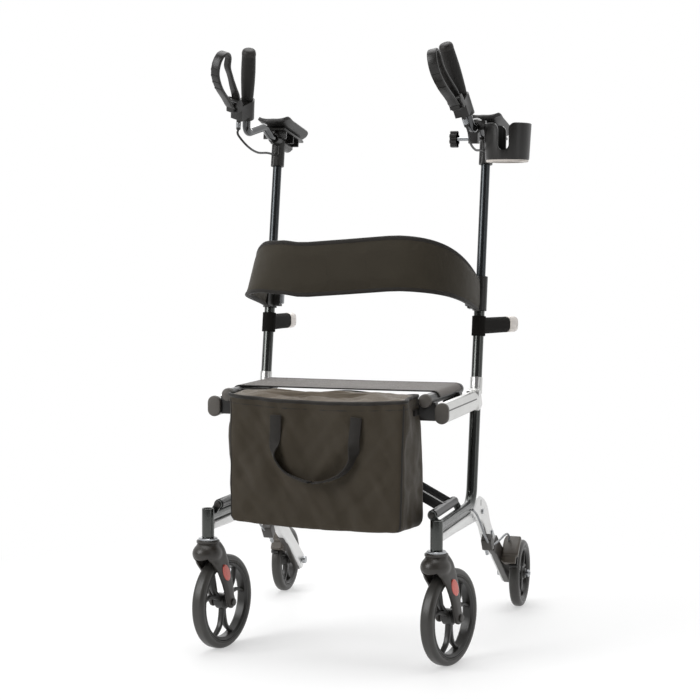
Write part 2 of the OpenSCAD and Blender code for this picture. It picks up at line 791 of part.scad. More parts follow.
// Inner post, sliding in the post
inner_foot = 385;
inner_wall = 1.6;
inner_top = 4;
module inner_post(s) {
    color("#4b5056") at_side(s) difference() {
        rod(post_at(inner_foot), post_at(arm_rise - inner_top), inner_d / 2);
        rod(post_at(inner_foot - over), post_at(arm_rise - inner_top + over), inner_d / 2 - inner_wall);
    }
}

// Arm frame placement: local Y runs rearward under the pad, local Z up the post
module on_arm() {
    translate(arm_o) rotate([-post_lean, 0, 0]) children();
}
rib_t = 5;
rib_w = 56;
base_w = 58;
base_front_y = -46;
base_rear_y = 96;
rib_ys = [-30, 22, 60];
module arm_bracket(s) {
    color("#2a2b2e") at_side(s) on_arm() difference() {
        union() {
            translate([0, 0, -socket_len]) cylinder(d = socket_d, h = socket_len + shaft_z);
            rod_y(shaft_front_y, shaft_rear_y, barrel_d / 2, 0, shaft_z);
            block([-base_w / 2, base_front_y, base_z], [base_w / 2, base_rear_y, base_z + base_t]);
            block([-rib_t / 2, shaft_front_y, shaft_z], [rib_t / 2, base_rear_y, base_z + over]);
            for (y = rib_ys) block([-rib_w / 2, y, shaft_z], [rib_w / 2, y + rib_t, base_z + over]);
        }
        translate([0, 0, -socket_len - over])
            cylinder(d = inner_d + 2 * fit_gap, h = socket_len + over - inner_top + fit_gap);
        rod_y(shaft_front_y - over, shaft_rear_y + over, handle_r + slide_gap, 0, shaft_z);
    }
}

// Arm pad: a trough for the forearm
pad_corner = 16;
module arm_pad(s) {
    c = base_z + base_t + fit_gap + pad_r;
    edge = sqrt(pad_r * pad_r - (pad_r - pad_rise) * (pad_r - pad_rise));
    color("#232326") at_side(s) on_arm() intersection() {
        difference() {
            rod_y(pad_front_y, pad_front_y + pad_len, pad_r, 0, c);
            rod_y(pad_front_y - over, pad_front_y + pad_len + over, pad_r - pad_t, 0, c);
        }
        translate([0, pad_front_y + pad_len / 2, c - pad_r]) linear_extrude(pad_rise)
            polygon(box_ring(2 * edge, pad_len, pad_corner));
    }
}

// Handle tube: shaft under the pad, swan neck and the core of the grip
neck_n = 20;
neck_step = 5;
neck_skin = 0.3;
neck_lap = 6;
function neck_path() = let (n = len(handle_points) - 1, p = handle_points)
    concat([p[1] + neck_lap * unit(p[0] - p[1])], bend_path(p, 1), bend_path(p, 2), bend_path(p, 3),
        [p[3] + (trim(p, 3, handle_bend) + neck_lap) * unit(p[4] - p[3])]);
function bend_path(p, i) = let (a = unit(p[i] - p[i - 1]), b = unit(p[i + 1] - p[i]),
    n = unit(b - (a * b) * a), c = p[i] - trim(p, i, handle_bend) * a + handle_bend * n,
    w = turn(p, i) / neck_step)
    [for (k = [0 : neck_step]) c + handle_bend * (sin(w * k) * a - cos(w * k) * n)];
module handle_tube(s) {
    p = handle_points;
    r = handle_r - neck_skin;
    color("#8b8e92") at_side(s) on_arm() {
        rod(p[0], p[1] + trim(p, 1, handle_bend) * unit(p[0] - p[1]), handle_r);
        sweep(neck_path(), r, neck_n);
        rod(p[3] + trim(p, 3, handle_bend) * unit(p[4] - p[3]), p[4], handle_r);
    }
}

// Grip frame placement
module on_grip(a = 0) {
    on_arm() translate(grip_foot) rotate([grip_tilt, 0, 0]) rotate([0, -grip_in, 0]) rotate([0, 0, a])
        children();
}
grip_foot_d = 26;
grip_top_d = 30;
grip_dome = 5;
grip_shares = [0.12, 0.55, 0.9];
module hand_grip(s) {
    h = handle_r + fit_gap;
    color("#1f2022") at_side(s) on_grip() rotate_extrude()
        polygon([[h, 0], [grip_foot_d / 2, 0], [grip_foot_d / 2 + over, grip_shares[0] * grip_len],
            [grip_d / 2, grip_shares[1] * grip_len], [grip_top_d / 2, grip_shares[2] * grip_len],
            [grip_top_d / 2 - grip_dome, grip_len], [0, grip_len], [0, grip_len - grip_cap + fit_gap],
            [h, grip_len - grip_cap + fit_gap]]);
}

// Lever housing clamped on the handle tube, with two ears for the lever
function lever_toe(s) = s > 0 ? lever_toe_left : lever_toe_right;
ear_in = lever_w / 2 + ear_gap;
ear_r = 10;
adjuster_r = 5;
adjuster_len = 26;
module lever_housing(s) {
    px = lever_pivot.x;
    pz = lever_pivot.y;
    color("#2c2d30") at_side(s) on_grip(lever_toe(s)) difference() {
        union() {
            translate([0, 0, -clamp_len]) cylinder(d = clamp_d, h = clamp_len - fit_gap);
            block([-ear_in - ear_t, px + ear_r + over, -clamp_len + ear_r], [ear_in + ear_t, 0, -fit_gap]);
            for (k = [-1, 1]) translate([k * (ear_in + ear_t / 2), 0, 0]) {
                block([-ear_t / 2, px - ear_r / 2, -ear_r], [ear_t / 2, px + ear_r + 2 * over, pz]);
                axle(-ear_t / 2, ear_t / 2, ear_r, px, pz);
            }
            axle(-ear_in - over, ear_in + over, lever_pin_d / 2, px, pz);
            translate([0, px + 2 * ear_r, -clamp_len + ear_r - adjuster_len])
                cylinder(r = adjuster_r, h = adjuster_len + over);
        }
        translate([0, 0, -clamp_len - over]) cylinder(r = handle_r + fit_gap, h = clamp_len + 2 * over);
    }
}

// Brake lever: a closed loop in front of the grip
lever_top = [-88, 128];
lever_belly = [-98, 92];
lever_top_r = 14;
lever_belly_r = 26;
lever_boss_r = 8;
module lever_loop(grow) {
    hull() {
        translate(lever_pivot) circle(r = lever_boss_r + grow, $fn = 32);
        translate(lever_belly) circle(r = lever_belly_r + grow, $fn = 32);
        translate(lever_top) circle(r = lever_top_r + grow, $fn = 32);
    }
}
lever_solid_h = 16;
module brake_lever(s) {
    color("#2f3033") at_side(s) on_grip(lever_toe(s)) difference() {
        side_plate(-lever_w / 2, lever_w / 2) difference() {
            lever_loop(0);
            difference() {
                lever_loop(-lever_band);
                translate([-front_wheel_d, 0]) square([front_wheel_d, lever_pivot.y + lever_solid_h]);
            }
        }
        axle(-lever_w, lever_w, lever_pin_d / 2 + run_gap, lever_pivot.x, lever_pivot.y);
    }
}

// Cable from the lever down and back to the arm socket
lever_way = [[6, -190, -40], [4, -130, -41], [2, -68, -29]];
cable_drop = 14;
socket_clear = 3;
module lever_cable(s) {
    a = lever_toe(s);
    foot = [0, lever_pivot.x + 2 * ear_r, -clamp_len + ear_r - adjuster_len - cable_lay];
    rest = [0, -socket_d / 2 - socket_clear, -socket_len / 2];
    color("#1d1d1f") at_side(s) cable(concat([grip_to(foot, a), grip_to(foot - [0, 0, cable_drop], a)],
        [for (p = lever_way) arm_to(p)], [arm_to(rest)]), cable_r);
}

// Cross frame half: hinge sleeve, two bars and the seat tube on the far side.
// The brace named after a side hinges on that side's frame and carries the other side's seat tube.
module brace(s) {
    k = s > 0 ? -1 : 1;
    bars = [brace_front_y + k * brace_step / 2, brace_rear_y + k * brace_step / 2];
    run = (hinge_x + seat_tube_x) / cos(brace_angle);
    color("#54585d") at_side(s) difference() {
        union() {
            rod_y(hinge_front_y + lug_t + pass_gap, hinge_rear_y - lug_t - pass_gap, hinge_tube_d / 2,
                hinge_x, hinge_z);
            for (y = bars) {
                translate([hinge_x, y, hinge_z]) rotate([0, 180 + brace_angle, 0])
                    block([0, -brace_t / 2, -brace_h / 2], [run, brace_t / 2, brace_h / 2]);
                rod_y(y - brace_t / 2, y + brace_t / 2, cross_boss_r, 0, cross_z);
            }
            rod_y(seat_tube_front_y, seat_tube_rear_y, seat_tube_r, -seat_tube_x, seat_z);
        }
        rod_y(hinge_front_y, hinge_rear_y, hinge_d / 2 + run_gap, hinge_x, hinge_z);
        rod_y(hinge_front_y, hinge_rear_y, cross_d / 2 + run_gap, 0, cross_z);
    }
}

// Two bolts on which the cross frame halves turn
module cross_pivot() {
    reach = brace_step / 2 + brace_t / 2;
    color("#a7a9ac") at_side(1) for (y = [brace_front_y, brace_rear_y]) {
        rod_y(y - reach - bolt_h, y + reach + bolt_h, cross_d / 2, 0, cross_z);
        rod_y(y - reach - 2 * bolt_h, y - reach - fit_gap - slide_gap, cross_d, 0, cross_z);
        rod_y(y + reach + fit_gap + slide_gap, y + reach + 2 * bolt_h, cross_d, 0, cross_z);
    }
}

// Half of the seat sling, wrapped over its seat tube
seat_split = 0.5;
seat_lap = 5;
module seat_half(s) {
    r = seat_tube_r + fit_gap;
    y0 = seat_front_y;
    y1 = seat_front_y + seat_len;
    color("#2e2b28") at_side(s) difference() {
        union() {
            block([seat_split, y0, seat_z + r], [seat_tube_x, y1, seat_z + r + seat_t]);
            rod_y(y0, y1, r + seat_t, seat_tube_x, seat_z);
        }
        rod_y(y0 - over, y1 + over, r, seat_tube_x, seat_z);
        block([0, y0 - over, seat_z - 2 * r], [seat_tube_x, y1 + over, seat_z + r]);
        block([0, y0 - over, seat_z - 2 * r], [frame_x, y1 + over, seat_z - seat_lap + seat_t]);
    }
}

// Cup holder clamped on the left handle tube
cup_clamp_d = 30;
cup_clamp_len = 26;
stud_r = 4;
cup_arm_h = 20;
cup_arm_w = 18;
cup_hold = arm_to(clamp_p);
cup_dir = arm_to(handle_points[3]) - arm_to(handle_points[2]);
knob_r = 18.5;
knob_t = 15;
knob_in = 26;
knob_drop = 29;
knob_at = cup_hold - [0, 0, knob_drop];
cup_ear_w = 20;
cup_ear_end = 6;
module cup_holder() {
    foot = [cup_x, cup_y, cup_z];
    slot_z = cup_z + cup_h * cup_slot_share;
    color("#1f2022") at_side(1) difference() {
        union() {
            translate(foot) cylinder(r1 = cup_foot_r, r2 = cup_top_r, h = cup_h, $fn = 72);
            along(cup_hold - unit(cup_dir) * cup_clamp_len / 2, cup_dir)
                cylinder(d = cup_clamp_d, h = cup_clamp_len);
            block([cup_hold.x, cup_y - cup_arm_w / 2, cup_hold.z - cup_arm_h / 2],
                [cup_x - cup_r - cup_wall / 2, cup_y + cup_arm_w / 2, cup_hold.z + cup_arm_h / 2]);
            block([knob_at.x - cup_clamp_d / 2, knob_at.y - cup_ear_w / 2, knob_at.z - cup_ear_w / 2],
                [knob_at.x + cup_ear_end, knob_at.y + cup_ear_w / 2, cup_hold.z]);
        }
        translate(foot + [0, 0, cup_floor]) cylinder(r = cup_r, h = cup_h, $fn = 72);
        block([cup_x - cup_slot_w / 2, cup_y - cup_d, slot_z],
            [cup_x + cup_slot_w / 2, cup_y + cup_d, cup_z + 2 * cup_h]);
        rod_y(cup_y - cup_d, cup_y + cup_d, cup_slot_w / 2, cup_x, slot_z);
        along(cup_hold - unit(cup_dir) * cup_clamp_len, cup_dir)
            cylinder(r = handle_r + fit_gap, h = 2 * cup_clamp_len);
        axle(knob_at.x - 2 * cup_clamp_d, knob_at.x, stud_r + run_gap, knob_at.y, knob_at.z);
    }
}

// Clamp screw of the cup holder with its fluted knob
knob_flutes = 8;
flute_r = 4;
module cup_knob() {
    x1 = knob_at.x - pass_gap;
    x0 = knob_at.x - cup_clamp_d / 2 - knob_in;
    color("#232427") at_side(1) {
        axle(x0 - over, x1, stud_r, knob_at.y, knob_at.z);
        difference() {
            axle(x0 - knob_t, x0, knob_r, knob_at.y, knob_at.z);
            for (k = [0 : knob_flutes - 1])
                axle(x0 - knob_t - over, x0 + over, flute_r, knob_at.y + knob_r * cos(360 * k / knob_flutes),
                    knob_at.z + knob_r * sin(360 * k / knob_flutes));
        }
    }
}

// Back strap: a padded band that bulges forward between the posts
strap_n = 28;
strap_z = post_at(post_len - clamp_h / 2).z;
strap_lift = 71;
strap_end_share = 0.6;
strap_gap = 8;
strap_start_y = post_y(strap_z) - clamp_r - strap_gap;
strap_power = 0.36;
strap_powers = [0.8, 0.9];
strap_edge_shares = [[-0.5, -0.36], [-0.3, -0.5], [0.3, -0.5], [0.5, -0.36],
    [0.5, 0.36], [0.3, 0.5], [-0.3, 0.5], [-0.5, 0.36]];
function strap_mid(t) = [(frame_x - strap_in) * sign(cos(t)) * pow(abs(cos(t)), strap_power),
    strap_start_y - (strap_reach - clamp_r - strap_gap) * pow(sin(t), strap_powers[0]),
    strap_z + strap_lift * pow(sin(t), strap_powers[1])];
function strap_t_at(i) = 180 * i / strap_n;
function strap_tall(t) = strap_h * (strap_end_share + (1 - strap_end_share) * sin(t));
module back_strap() {
    color("#2e2b28") at_side(1) loft([for (i = [0 : strap_n])
        let (t = strap_t_at(i), a = strap_mid(max(t - 1, 0)), b = strap_mid(min(t + 1, 180)),
            d = unit([b.x - a.x, b.y - a.y]), n = [-d.y, d.x, 0])
        [for (e = strap_edge_shares) strap_mid(t) + strap_t * e.x * n + [0, 0, strap_tall(t) * e.y]]]);
}

// Bag: open at the top, bulging sides and a sagging floor
bag_n = 6;
bag_level_shares = [0, 0.03, 0.15, 0.4, 0.7, 1];
bag_grow_shares = [0.8, 0.93, 1, 1.01, 1.01, 1];
bag_r = 26;
bag_rim_sag = 20;
function bag_ring(i, t) = let (f = bag_grow_shares[i], z = bag_top_z - bag_h * (1 - bag_level_shares[i]))
    [for (p = box_ring(bag_w * f - 2 * t, bag_d * f - 2 * t, bag_r - t))
        let (y = (bag_front_y + bag_rear_y) / 2 + p.y)
        [p.x * bag_half(y) / (bag_w / 2), y, z + (i == 0 ? t : 0)
            - bag_rim_sag * bag_level_shares[i] * bag_level_shares[i] * (1 - pow(2 * p.x / bag_w, 2))]];
module bag() {
    m = len(bag_level_shares) - 1;
    color("#332f2b") at_side(1)
        loft(concat([for (i = [0 : m]) bag_ring(i, 0)], [for (i = [m : -1 : 0]) bag_ring(i, bag_wall)]));
}

// Carrying handle of the bag: a webbing loop hanging on its front
strap_w = 24;
loop_half = 88;
loop_drop = 132;
loop_top = 486;
loop_n = 16;
module bag_handle() {
    y = bag_front_y - webbing_off - webbing_t;
    color("#26241f") at_side(1) loft([for (i = [0 : loop_n])
        let (t = 180 * i / loop_n, c = [loop_half * cos(t), y, loop_top - loop_drop * sin(t)],
            n = unit([loop_half * cos(t) * loop_drop, 0, -loop_half * sin(t) * loop_half]))
        [for (e = [[1, 0], [-1, 0], [-1, 1], [1, 1]]) c + e.x * strap_w / 2 * n + [0, e.y * webbing_t, 0]]]);
}

frame_tube(1);  // frame_tube_left
frame_tube(-1);  // frame_tube_right
rear_leg(1);  // rear_leg_left
rear_leg(-1);  // rear_leg_right
seat_rail(1);  // seat_rail_left
seat_rail(-1);  // seat_rail_right
rail_fittings(1);  // rail_fittings_left
rail_fittings(-1);  // rail_fittings_right
strap_clamp(1);  // strap_clamp_left
strap_clamp(-1);  // strap_clamp_right
height_button(1);  // height_button_left
height_button(-1);  // height_button_right
assist_handle(1);  // assist_handle_left
assist_handle(-1);  // assist_handle_right
frame_hardware(1);  // frame_hardware_left
frame_hardware(-1);  // frame_hardware_right
caster_fork(1);  // caster_fork_left
caster_fork(-1);  // caster_fork_right
caster_hardware(1);  // caster_hardware_left
caster_hardware(-1);  // caster_hardware_right
front_rim(1);  // front_rim_left
front_rim(-1);  // front_rim_right
front_tyre(1);  // front_tyre_left
front_tyre(-1);  // front_tyre_right
rear_rim(1);  // rear_rim_left
rear_rim(-1);  // rear_rim_right
rear_tyre(1);  // rear_tyre_left
rear_tyre(-1);  // rear_tyre_right
brake_housing(1);  // brake_housing_left
brake_housing(-1);  // brake_housing_right
brake_shoe(1);  // brake_shoe_left
brake_shoe(-1);  // brake_shoe_right
brake_cable(1);  // brake_cable_left
brake_cable(-1);  // brake_cable_right
inner_post(1);  // inner_post_left
inner_post(-1);  // inner_post_right
arm_bracket(1);  // arm_bracket_left
arm_bracket(-1);  // arm_bracket_right
arm_pad(1);  // arm_pad_left
arm_pad(-1);  // arm_pad_right
handle_tube(1);  // handle_tube_left
handle_tube(-1);  // handle_tube_right
hand_grip(1);  // hand_grip_left
hand_grip(-1);  // hand_grip_right
lever_housing(1);  // lever_housing_left
lever_housing(-1);  // lever_housing_right
brake_lever(1);  // brake_lever_left
brake_lever(-1);  // brake_lever_right
lever_cable(1);  // lever_cable_left
lever_cable(-1);  // lever_cable_right
brace(1);  // brace_left
brace(-1);  // brace_right
cross_pivot();
seat_half(1);  // seat_left
seat_half(-1);  // seat_right
cup_holder();
cup_knob();
back_strap();
bag();
bag_handle();
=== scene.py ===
"""Looks of the upright walker: studio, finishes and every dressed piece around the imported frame."""

import json
import logging
from dataclasses import dataclass
from enum import Enum
from math import acos, atan2, copysign, cos, hypot, pi, prod, radians, sin, sqrt, tan, tau
from typing import Callable, Self, Sequence

import bmesh
import bpy
from mathutils import Matrix, Vector, noise


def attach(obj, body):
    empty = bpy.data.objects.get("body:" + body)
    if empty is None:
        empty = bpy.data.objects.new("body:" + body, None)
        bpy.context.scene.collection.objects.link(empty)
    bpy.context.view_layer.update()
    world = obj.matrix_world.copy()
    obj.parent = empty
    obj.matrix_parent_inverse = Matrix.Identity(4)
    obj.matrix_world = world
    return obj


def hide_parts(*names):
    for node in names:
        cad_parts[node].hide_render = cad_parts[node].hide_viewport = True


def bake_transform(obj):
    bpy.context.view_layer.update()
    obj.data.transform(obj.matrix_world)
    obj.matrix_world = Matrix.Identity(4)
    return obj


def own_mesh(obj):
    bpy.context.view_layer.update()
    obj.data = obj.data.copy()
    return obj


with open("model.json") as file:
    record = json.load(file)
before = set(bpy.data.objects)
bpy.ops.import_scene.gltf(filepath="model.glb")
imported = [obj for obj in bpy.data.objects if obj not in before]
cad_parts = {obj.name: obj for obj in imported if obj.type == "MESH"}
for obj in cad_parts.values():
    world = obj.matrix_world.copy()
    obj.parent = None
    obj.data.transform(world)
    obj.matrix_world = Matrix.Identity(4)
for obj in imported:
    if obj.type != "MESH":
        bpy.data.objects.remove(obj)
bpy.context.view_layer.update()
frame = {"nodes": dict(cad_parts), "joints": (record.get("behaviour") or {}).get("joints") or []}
JOINTS = {joint["name"]: joint for joint in frame["joints"]}
LOG = logging.getLogger("walker")
MM = 0.001
TO_METRES = Matrix.Scale(MM, 4)
shift = Matrix.Translation
# Scale of a wave texture that draws one band in each unit
WAVE = pi / 10
# Stretch, in millimetres, that stays straight between two round corners
STRAIGHT = 0.1

Point = Sequence[float]
Points = Sequence[Point]
Outline = list[tuple[float, float]]
Tree = bpy.types.NodeTree
Socket = bpy.types.NodeSocket
Vert = bmesh.types.BMVert
Edge = bmesh.types.BMEdge


class Side(Enum):
    """The two sides of the walker, as the user stands in it."""

    LEFT = 1
    RIGHT = -1

    @property
    def tag(self) -> str:
        """Ending of the names of this side's nodes, bodies and joints."""
        return self.name.lower()


def linear(code: str) -> tuple[float, float, float, float]:
    """Turn an sRGB hex colour into linear light.

    Args:
        code: Colour as #rrggbb.

    Returns:
        Linear red, green, blue and an alpha of 1.
    """
    parts = [int(code[i:i + 2], 16) / 255 for i in (1, 3, 5)]
    red, green, blue = (c / 12.92 if c <= 0.04045 else ((c + 0.055) / 1.055) ** 2.4 for c in parts)
    return red, green, blue, 1.0


def stand(name: str, data: bpy.types.ID) -> bpy.types.Object:
    """Put a new object in the scene.

    Args:
        name: Its name.
        data: Its mesh, lamp or camera.

    Returns:
        The object.
    """
    made = bpy.data.objects.new(name, data)
    bpy.context.scene.collection.objects.link(made)
    return made


def add(tree: Tree, kind: str, inputs: dict | None = None,
        **settings: object) -> bpy.types.Node:
    """Add a node with its settings, values and links.

    Args:
        tree: Node tree that takes the node.
        kind: Node type.
        inputs: Value or linked output socket for each named or numbered input.
        settings: Properties of the node.

    Returns:
        The new node.
    """
    node = tree.nodes.new(kind)
    for key, value in settings.items():
        setattr(node, key, value)
    for key, value in (inputs or {}).items():
        if isinstance(value, Socket):
            tree.links.new(value, node.inputs[key])
        else:
            node.inputs[key].default_value = value
    return node


@dataclass(frozen=True)
class Finish:
    """A moulded or cast surface: two close tones, a fine grain in its relief and its gloss."""

    name: str
    slot: str
    colour: str
    deep: str
    roughness: float
    metallic: float = 0.0
    grain_mm: float = 1.0
    relief_mm: float = 0.03
    cloud_mm: float = 60.0
    gloss_swing: float = 0.06
    coat: float = 0.0
    sheen: float = 0.0
    specular: float = 0.5
    stretch: Point = (1.0, 1.0, 1.0)
    coat_roughness: float = 0.12
    sheen_roughness: float = 0.5

    def material(self) -> bpy.types.Material:
        """Give the finish's material, made at its first use."""
        found = bpy.data.materials.get(self.name)
        return found if found else self.make()

    def make(self) -> bpy.types.Material:
        """Make the material: two tones, a roughness that swings a little, and a relief.

        Returns:
            The new material.
        """
        material = bpy.data.materials.new(self.name)
        material.use_nodes = True
        tree = material.node_tree
        shader = tree.nodes["Principled BSDF"].inputs
        values = {"Metallic": self.metallic, "Specular IOR Level": self.specular, "Coat Weight": self.coat,
                  "Coat Roughness": self.coat_roughness, "Sheen Weight": self.sheen,
                  "Sheen Roughness": self.sheen_roughness}
        for socket, value in values.items():
            shader[socket].default_value = value
        tone, gloss, relief = self.pattern(tree)
        mix = add(tree, "ShaderNodeMix", {"Factor": tone}, data_type="RGBA")
        mix.inputs["A"].default_value = linear(self.colour)
        mix.inputs["B"].default_value = linear(self.deep)
        tree.links.new(mix.outputs["Result"], shader["Base Color"])
        low, high = self.roughness - self.gloss_swing, self.roughness + self.gloss_swing
        swing = add(tree, "ShaderNodeMapRange", {"Value": gloss, "To Min": low, "To Max": high})
        tree.links.new(swing.outputs["Result"], shader["Roughness"])
        depth = self.relief_mm * MM
        bump = add(tree, "ShaderNodeBump", {"Height": relief, "Strength": 1.0, "Distance": depth})
        tree.links.new(bump.outputs["Normal"], shader["Normal"])
        return material

    def pattern(self, tree: Tree) -> tuple[Socket, Socket, Socket]:
        """Draw broad clouds of tone and a fine grain.

        Args:
            tree: Node tree of the material.

        Returns:
            Deep tone, gloss and relief, each from 0 to 1.
        """
        place = add(tree, "ShaderNodeTexCoord").outputs["Object"]
        turned = add(tree, "ShaderNodeMapping", {"Vector": place, "Scale": self.stretch}).outputs["Vector"]
        grain = self.speckle(tree, turned, self.grain_mm, 2.0)
        return self.speckle(tree, place, self.cloud_mm, 3.0), grain, grain

    def speckle(self, tree: Tree, place: Socket, size_mm: float, detail: float) -> Socket:
        """Add a noise, from 0 to 1, of a size and with rounds of finer detail."""
        inputs = {"Vector": place, "Scale": 1 / (size_mm * MM), "Detail": detail}
        return add(tree, "ShaderNodeTexNoise", inputs).outputs["Fac"]


@dataclass(frozen=True)
class Woven(Finish):
    """A cloth woven over and under, on the piece's own map. The threads are drawn coarse enough to show."""

    thread_mm: float = 1.6

    def pattern(self, tree: Tree) -> tuple[Socket, Socket, Socket]:
        """Draw the weave, worn in clouds.

        Args:
            tree: Node tree of the material.

        Returns:
            Deep tone, gloss and relief, each from 0 to 1.
        """
        lay = add(tree, "ShaderNodeUVMap", uv_map="lay").outputs["UV"]
        count = 1 / (self.thread_mm * MM)
        checks = add(tree, "ShaderNodeTexChecker", {"Vector": lay, "Scale": count}).outputs["Fac"]
        bands = [add(tree, "ShaderNodeTexWave", {"Vector": lay, "Scale": count * WAVE},
                     bands_direction=way).outputs["Fac"] for way in ("X", "Y")]
        weave = add(tree, "ShaderNodeMix", {"Factor": checks, "A": bands[0], "B": bands[1]}).outputs["Result"]
        cloud = self.speckle(tree, lay, self.cloud_mm, 4.0)
        worn = add(tree, "ShaderNodeMath", {0: cloud, 1: weave}, operation="MULTIPLY").outputs[0]
        return worn, cloud, weave


@dataclass(frozen=True)
class Ribbed(Finish):
    """A narrow tape or a wound sheath with ribs across it, on the piece's own map."""

    rib_mm: float = 2.4
    waver: float = 0.4

    def pattern(self, tree: Tree) -> tuple[Socket, Socket, Socket]:
        """Draw the ribs.

        Args:
            tree: Node tree of the material.

        Returns:
            Deep tone, gloss and relief, each from 0 to 1.
        """
        lay = add(tree, "ShaderNodeUVMap", uv_map="lay").outputs["UV"]
        inputs = {"Vector": lay, "Scale": WAVE / (self.rib_mm * MM), "Distortion": self.waver}
        ribs = add(tree, "ShaderNodeTexWave", inputs, bands_direction="X").outputs["Fac"]
        return ribs, ribs, ribs


@dataclass(frozen=True)
class Faceted(Finish):
    """A clear moulded lens over small prisms."""

    disorder: float = 0.1

    def pattern(self, tree: Tree) -> tuple[Socket, Socket, Socket]:
        """Draw the prisms.

        Args:
            tree: Node tree of the material.

        Returns:
            Deep tone, gloss and relief, each from 0 to 1.
        """
        place = add(tree, "ShaderNodeTexCoord").outputs["Object"]
        inputs = {"Vector": place, "Scale": 1 / (self.grain_mm * MM), "Randomness": self.disorder}
        prisms = add(tree, "ShaderNodeTexVoronoi", inputs).outputs["Distance"]
        return prisms, prisms, prisms


# Anodised aluminium tube: slate grey, satin, with long soft streaks of the lamps
TUBE = Finish("aluminium_tube_anodised", "tube", "#555755", "#494b49", 0.25, 0.92, 0.9, 0.006, 90)
# Steel bar with a black powder coat: a fine orange peel, half matt
COATED = Finish("steel_bar_powder_coated", "tube", "#2b2b2b", "#232323", 0.40, grain_mm=1.1)
# Die-cast aluminium, shot-blasted and lacquered: pale silver with a soft grain
CAST = Finish("aluminium_cast_lacquered", "silver", "#dcdcdb", "#cfcfce", 0.36, 0.80, 1.4, 0.02, 80)
# Extruded aluminium, clear anodised: silver with fine lines along its length
DRAWN = Finish("aluminium_extruded_anodised", "silver", "#d6d6d4", "#c6c6c4", 0.30, 0.86, 1.2, 0.012, 70,
               stretch=(1.0, 0.06, 1.0))
# Glass-filled nylon, moulded with an eroded texture: near black, half matt
NYLON = Finish("nylon_moulded_black", "plastic", "#22211f", "#1a1918", 0.35, specular=0.4)
# The same nylon in a warm brown black, on the forks and the brakes
BROWN = Finish("nylon_moulded_brown", "dark_plastic", "#332f2b", "#292622", 0.38)
# The brake hood's nylon, browner and paler than the fork's
UMBER = Finish("nylon_moulded_umber", "dark_plastic", "#4e473f", "#3f3a33", 0.44)
# Nylon end caps, a tone lighter and duller than the black nylon
CAPPED = Finish("nylon_moulded_dull", "plastic", "#54504b", "#48443f", 0.52)
# Steel, blackened by oxide: dark, with a soft metal shine
BLACKED = Finish("steel_oxide_blackened", "steel", "#4c4a48", "#3b3a38", 0.34, 0.8, 1.2, 0.01, 25)
# ABS, moulded and left grey: soft sheen
GREY = Finish("abs_moulded_grey", "grey_plastic", "#8f9194", "#85878a", 0.40, grain_mm=0.9, relief_mm=0.02)
# Polypropylene rim, moulded dark grey
RIM = Finish("polypropylene_moulded_grey", "rim", "#2a2927", "#21201e", 0.36)
# Solid polyurethane tyre, moulded: dark grey, a dull shine, a little dusty
TYRE = Finish("polyurethane_tyre_moulded", "tyre", "#302f2c", "#393734", 0.40, grain_mm=1.6, relief_mm=0.05,
              cloud_mm=35)
# Thermoplastic rubber, moulded over a core: black and soft
RUBBER = Finish("rubber_moulded_soft", "grip", "#242321", "#1c1b1a", 0.52, grain_mm=1.1, relief_mm=0.05,
                sheen=0.04, specular=0.2)
# Foamed rubber sleeve of the assist handles: black, no shine
SPONGE = Finish("rubber_foamed_sleeve", "grip", "#201f1d", "#171615", 0.85, grain_mm=1.4, relief_mm=0.08,
                specular=0.03)
# Milky polycarbonate ends of the assist handles: pale and slightly wet
MILKY = Finish("polycarbonate_moulded_pale", "grey_plastic", "#cfc8c1", "#c3bbb4", 0.35, relief_mm=0.02)
# The grip's harder end cap, a tone lighter
CAP = Finish("rubber_moulded_cap", "grip", "#2b2927", "#242220", 0.46, grain_mm=1.1, relief_mm=0.04,
             specular=0.28)
# Skinned polyurethane foam of the arm pads: black with a leathery pebble
FOAM = Finish("polyurethane_foam_skinned", "pad", "#2a2928", "#222120", 0.44, grain_mm=2.6, relief_mm=0.09)
# Zinc-plated steel: bright grey, slightly clouded
ZINC = Finish("steel_zinc_plated", "steel", "#b5b7b9", "#9da0a3", 0.28, 1.0, 1.5, 0.01, 20)
# Polished and dark anodised aluminium of the handle tubes: clear reflections
POLISHED = Finish("aluminium_tube_polished", "handle", "#5a5b5c", "#4e4f50", 0.09, 1.0, 0.8, 0.002, 90, 0.02)
# Inner posts, anodised a tone darker than the frame
DARK_TUBE = Finish("aluminium_tube_anodised_dark", "tube", "#45484a", "#3b3e40", 0.28, 0.9, 0.9, 0.006, 90)
# Nylon pack cloth of the bag: warm dark brown plain weave, faded in clouds
PACK = Woven("nylon_cloth_woven", "bag_cloth", "#383023", "#252016", 0.62, relief_mm=0.16, cloud_mm=70,
             sheen=0.10, specular=0.25)
# Unlined top panel of the bag: the same cloth, painted paler for the light that falls on it from above
TOPLIT_CLOTH = Woven("nylon_cloth_faded", "bag_cloth", "#6a6053", "#4a4338", 0.72, relief_mm=0.16, cloud_mm=40,
              sheen=0.2, specular=0.25)
# Polyester seat cloth, tighter and a tone greyer, stretched flat
SLING = Woven("polyester_cloth_woven", "fabric", "#5a534d", "#423c37", 0.66, relief_mm=0.14, cloud_mm=90,
              sheen=0.2, specular=0.3, thread_mm=1.4)
# Knitted polyester over foam, on the back strap: very dark brown, soft
KNIT = Woven("polyester_knit_padded", "fabric", "#342e22", "#241f16", 0.70, relief_mm=0.16, cloud_mm=60,
             sheen=0.12, specular=0.25)
# Polypropylene webbing: ribs across the tape
WEBBING = Ribbed("polypropylene_webbing_woven", "fabric", "#211d18", "#171411", 0.60, relief_mm=0.25,
                 sheen=0.06, specular=0.3)
# Polyester binding folded over a cut edge
BINDING = Ribbed("polyester_binding_ribbed", "fabric", "#231f1a", "#191613", 0.66, relief_mm=0.2, sheen=0.1,
                 specular=0.3, rib_mm=1.8)
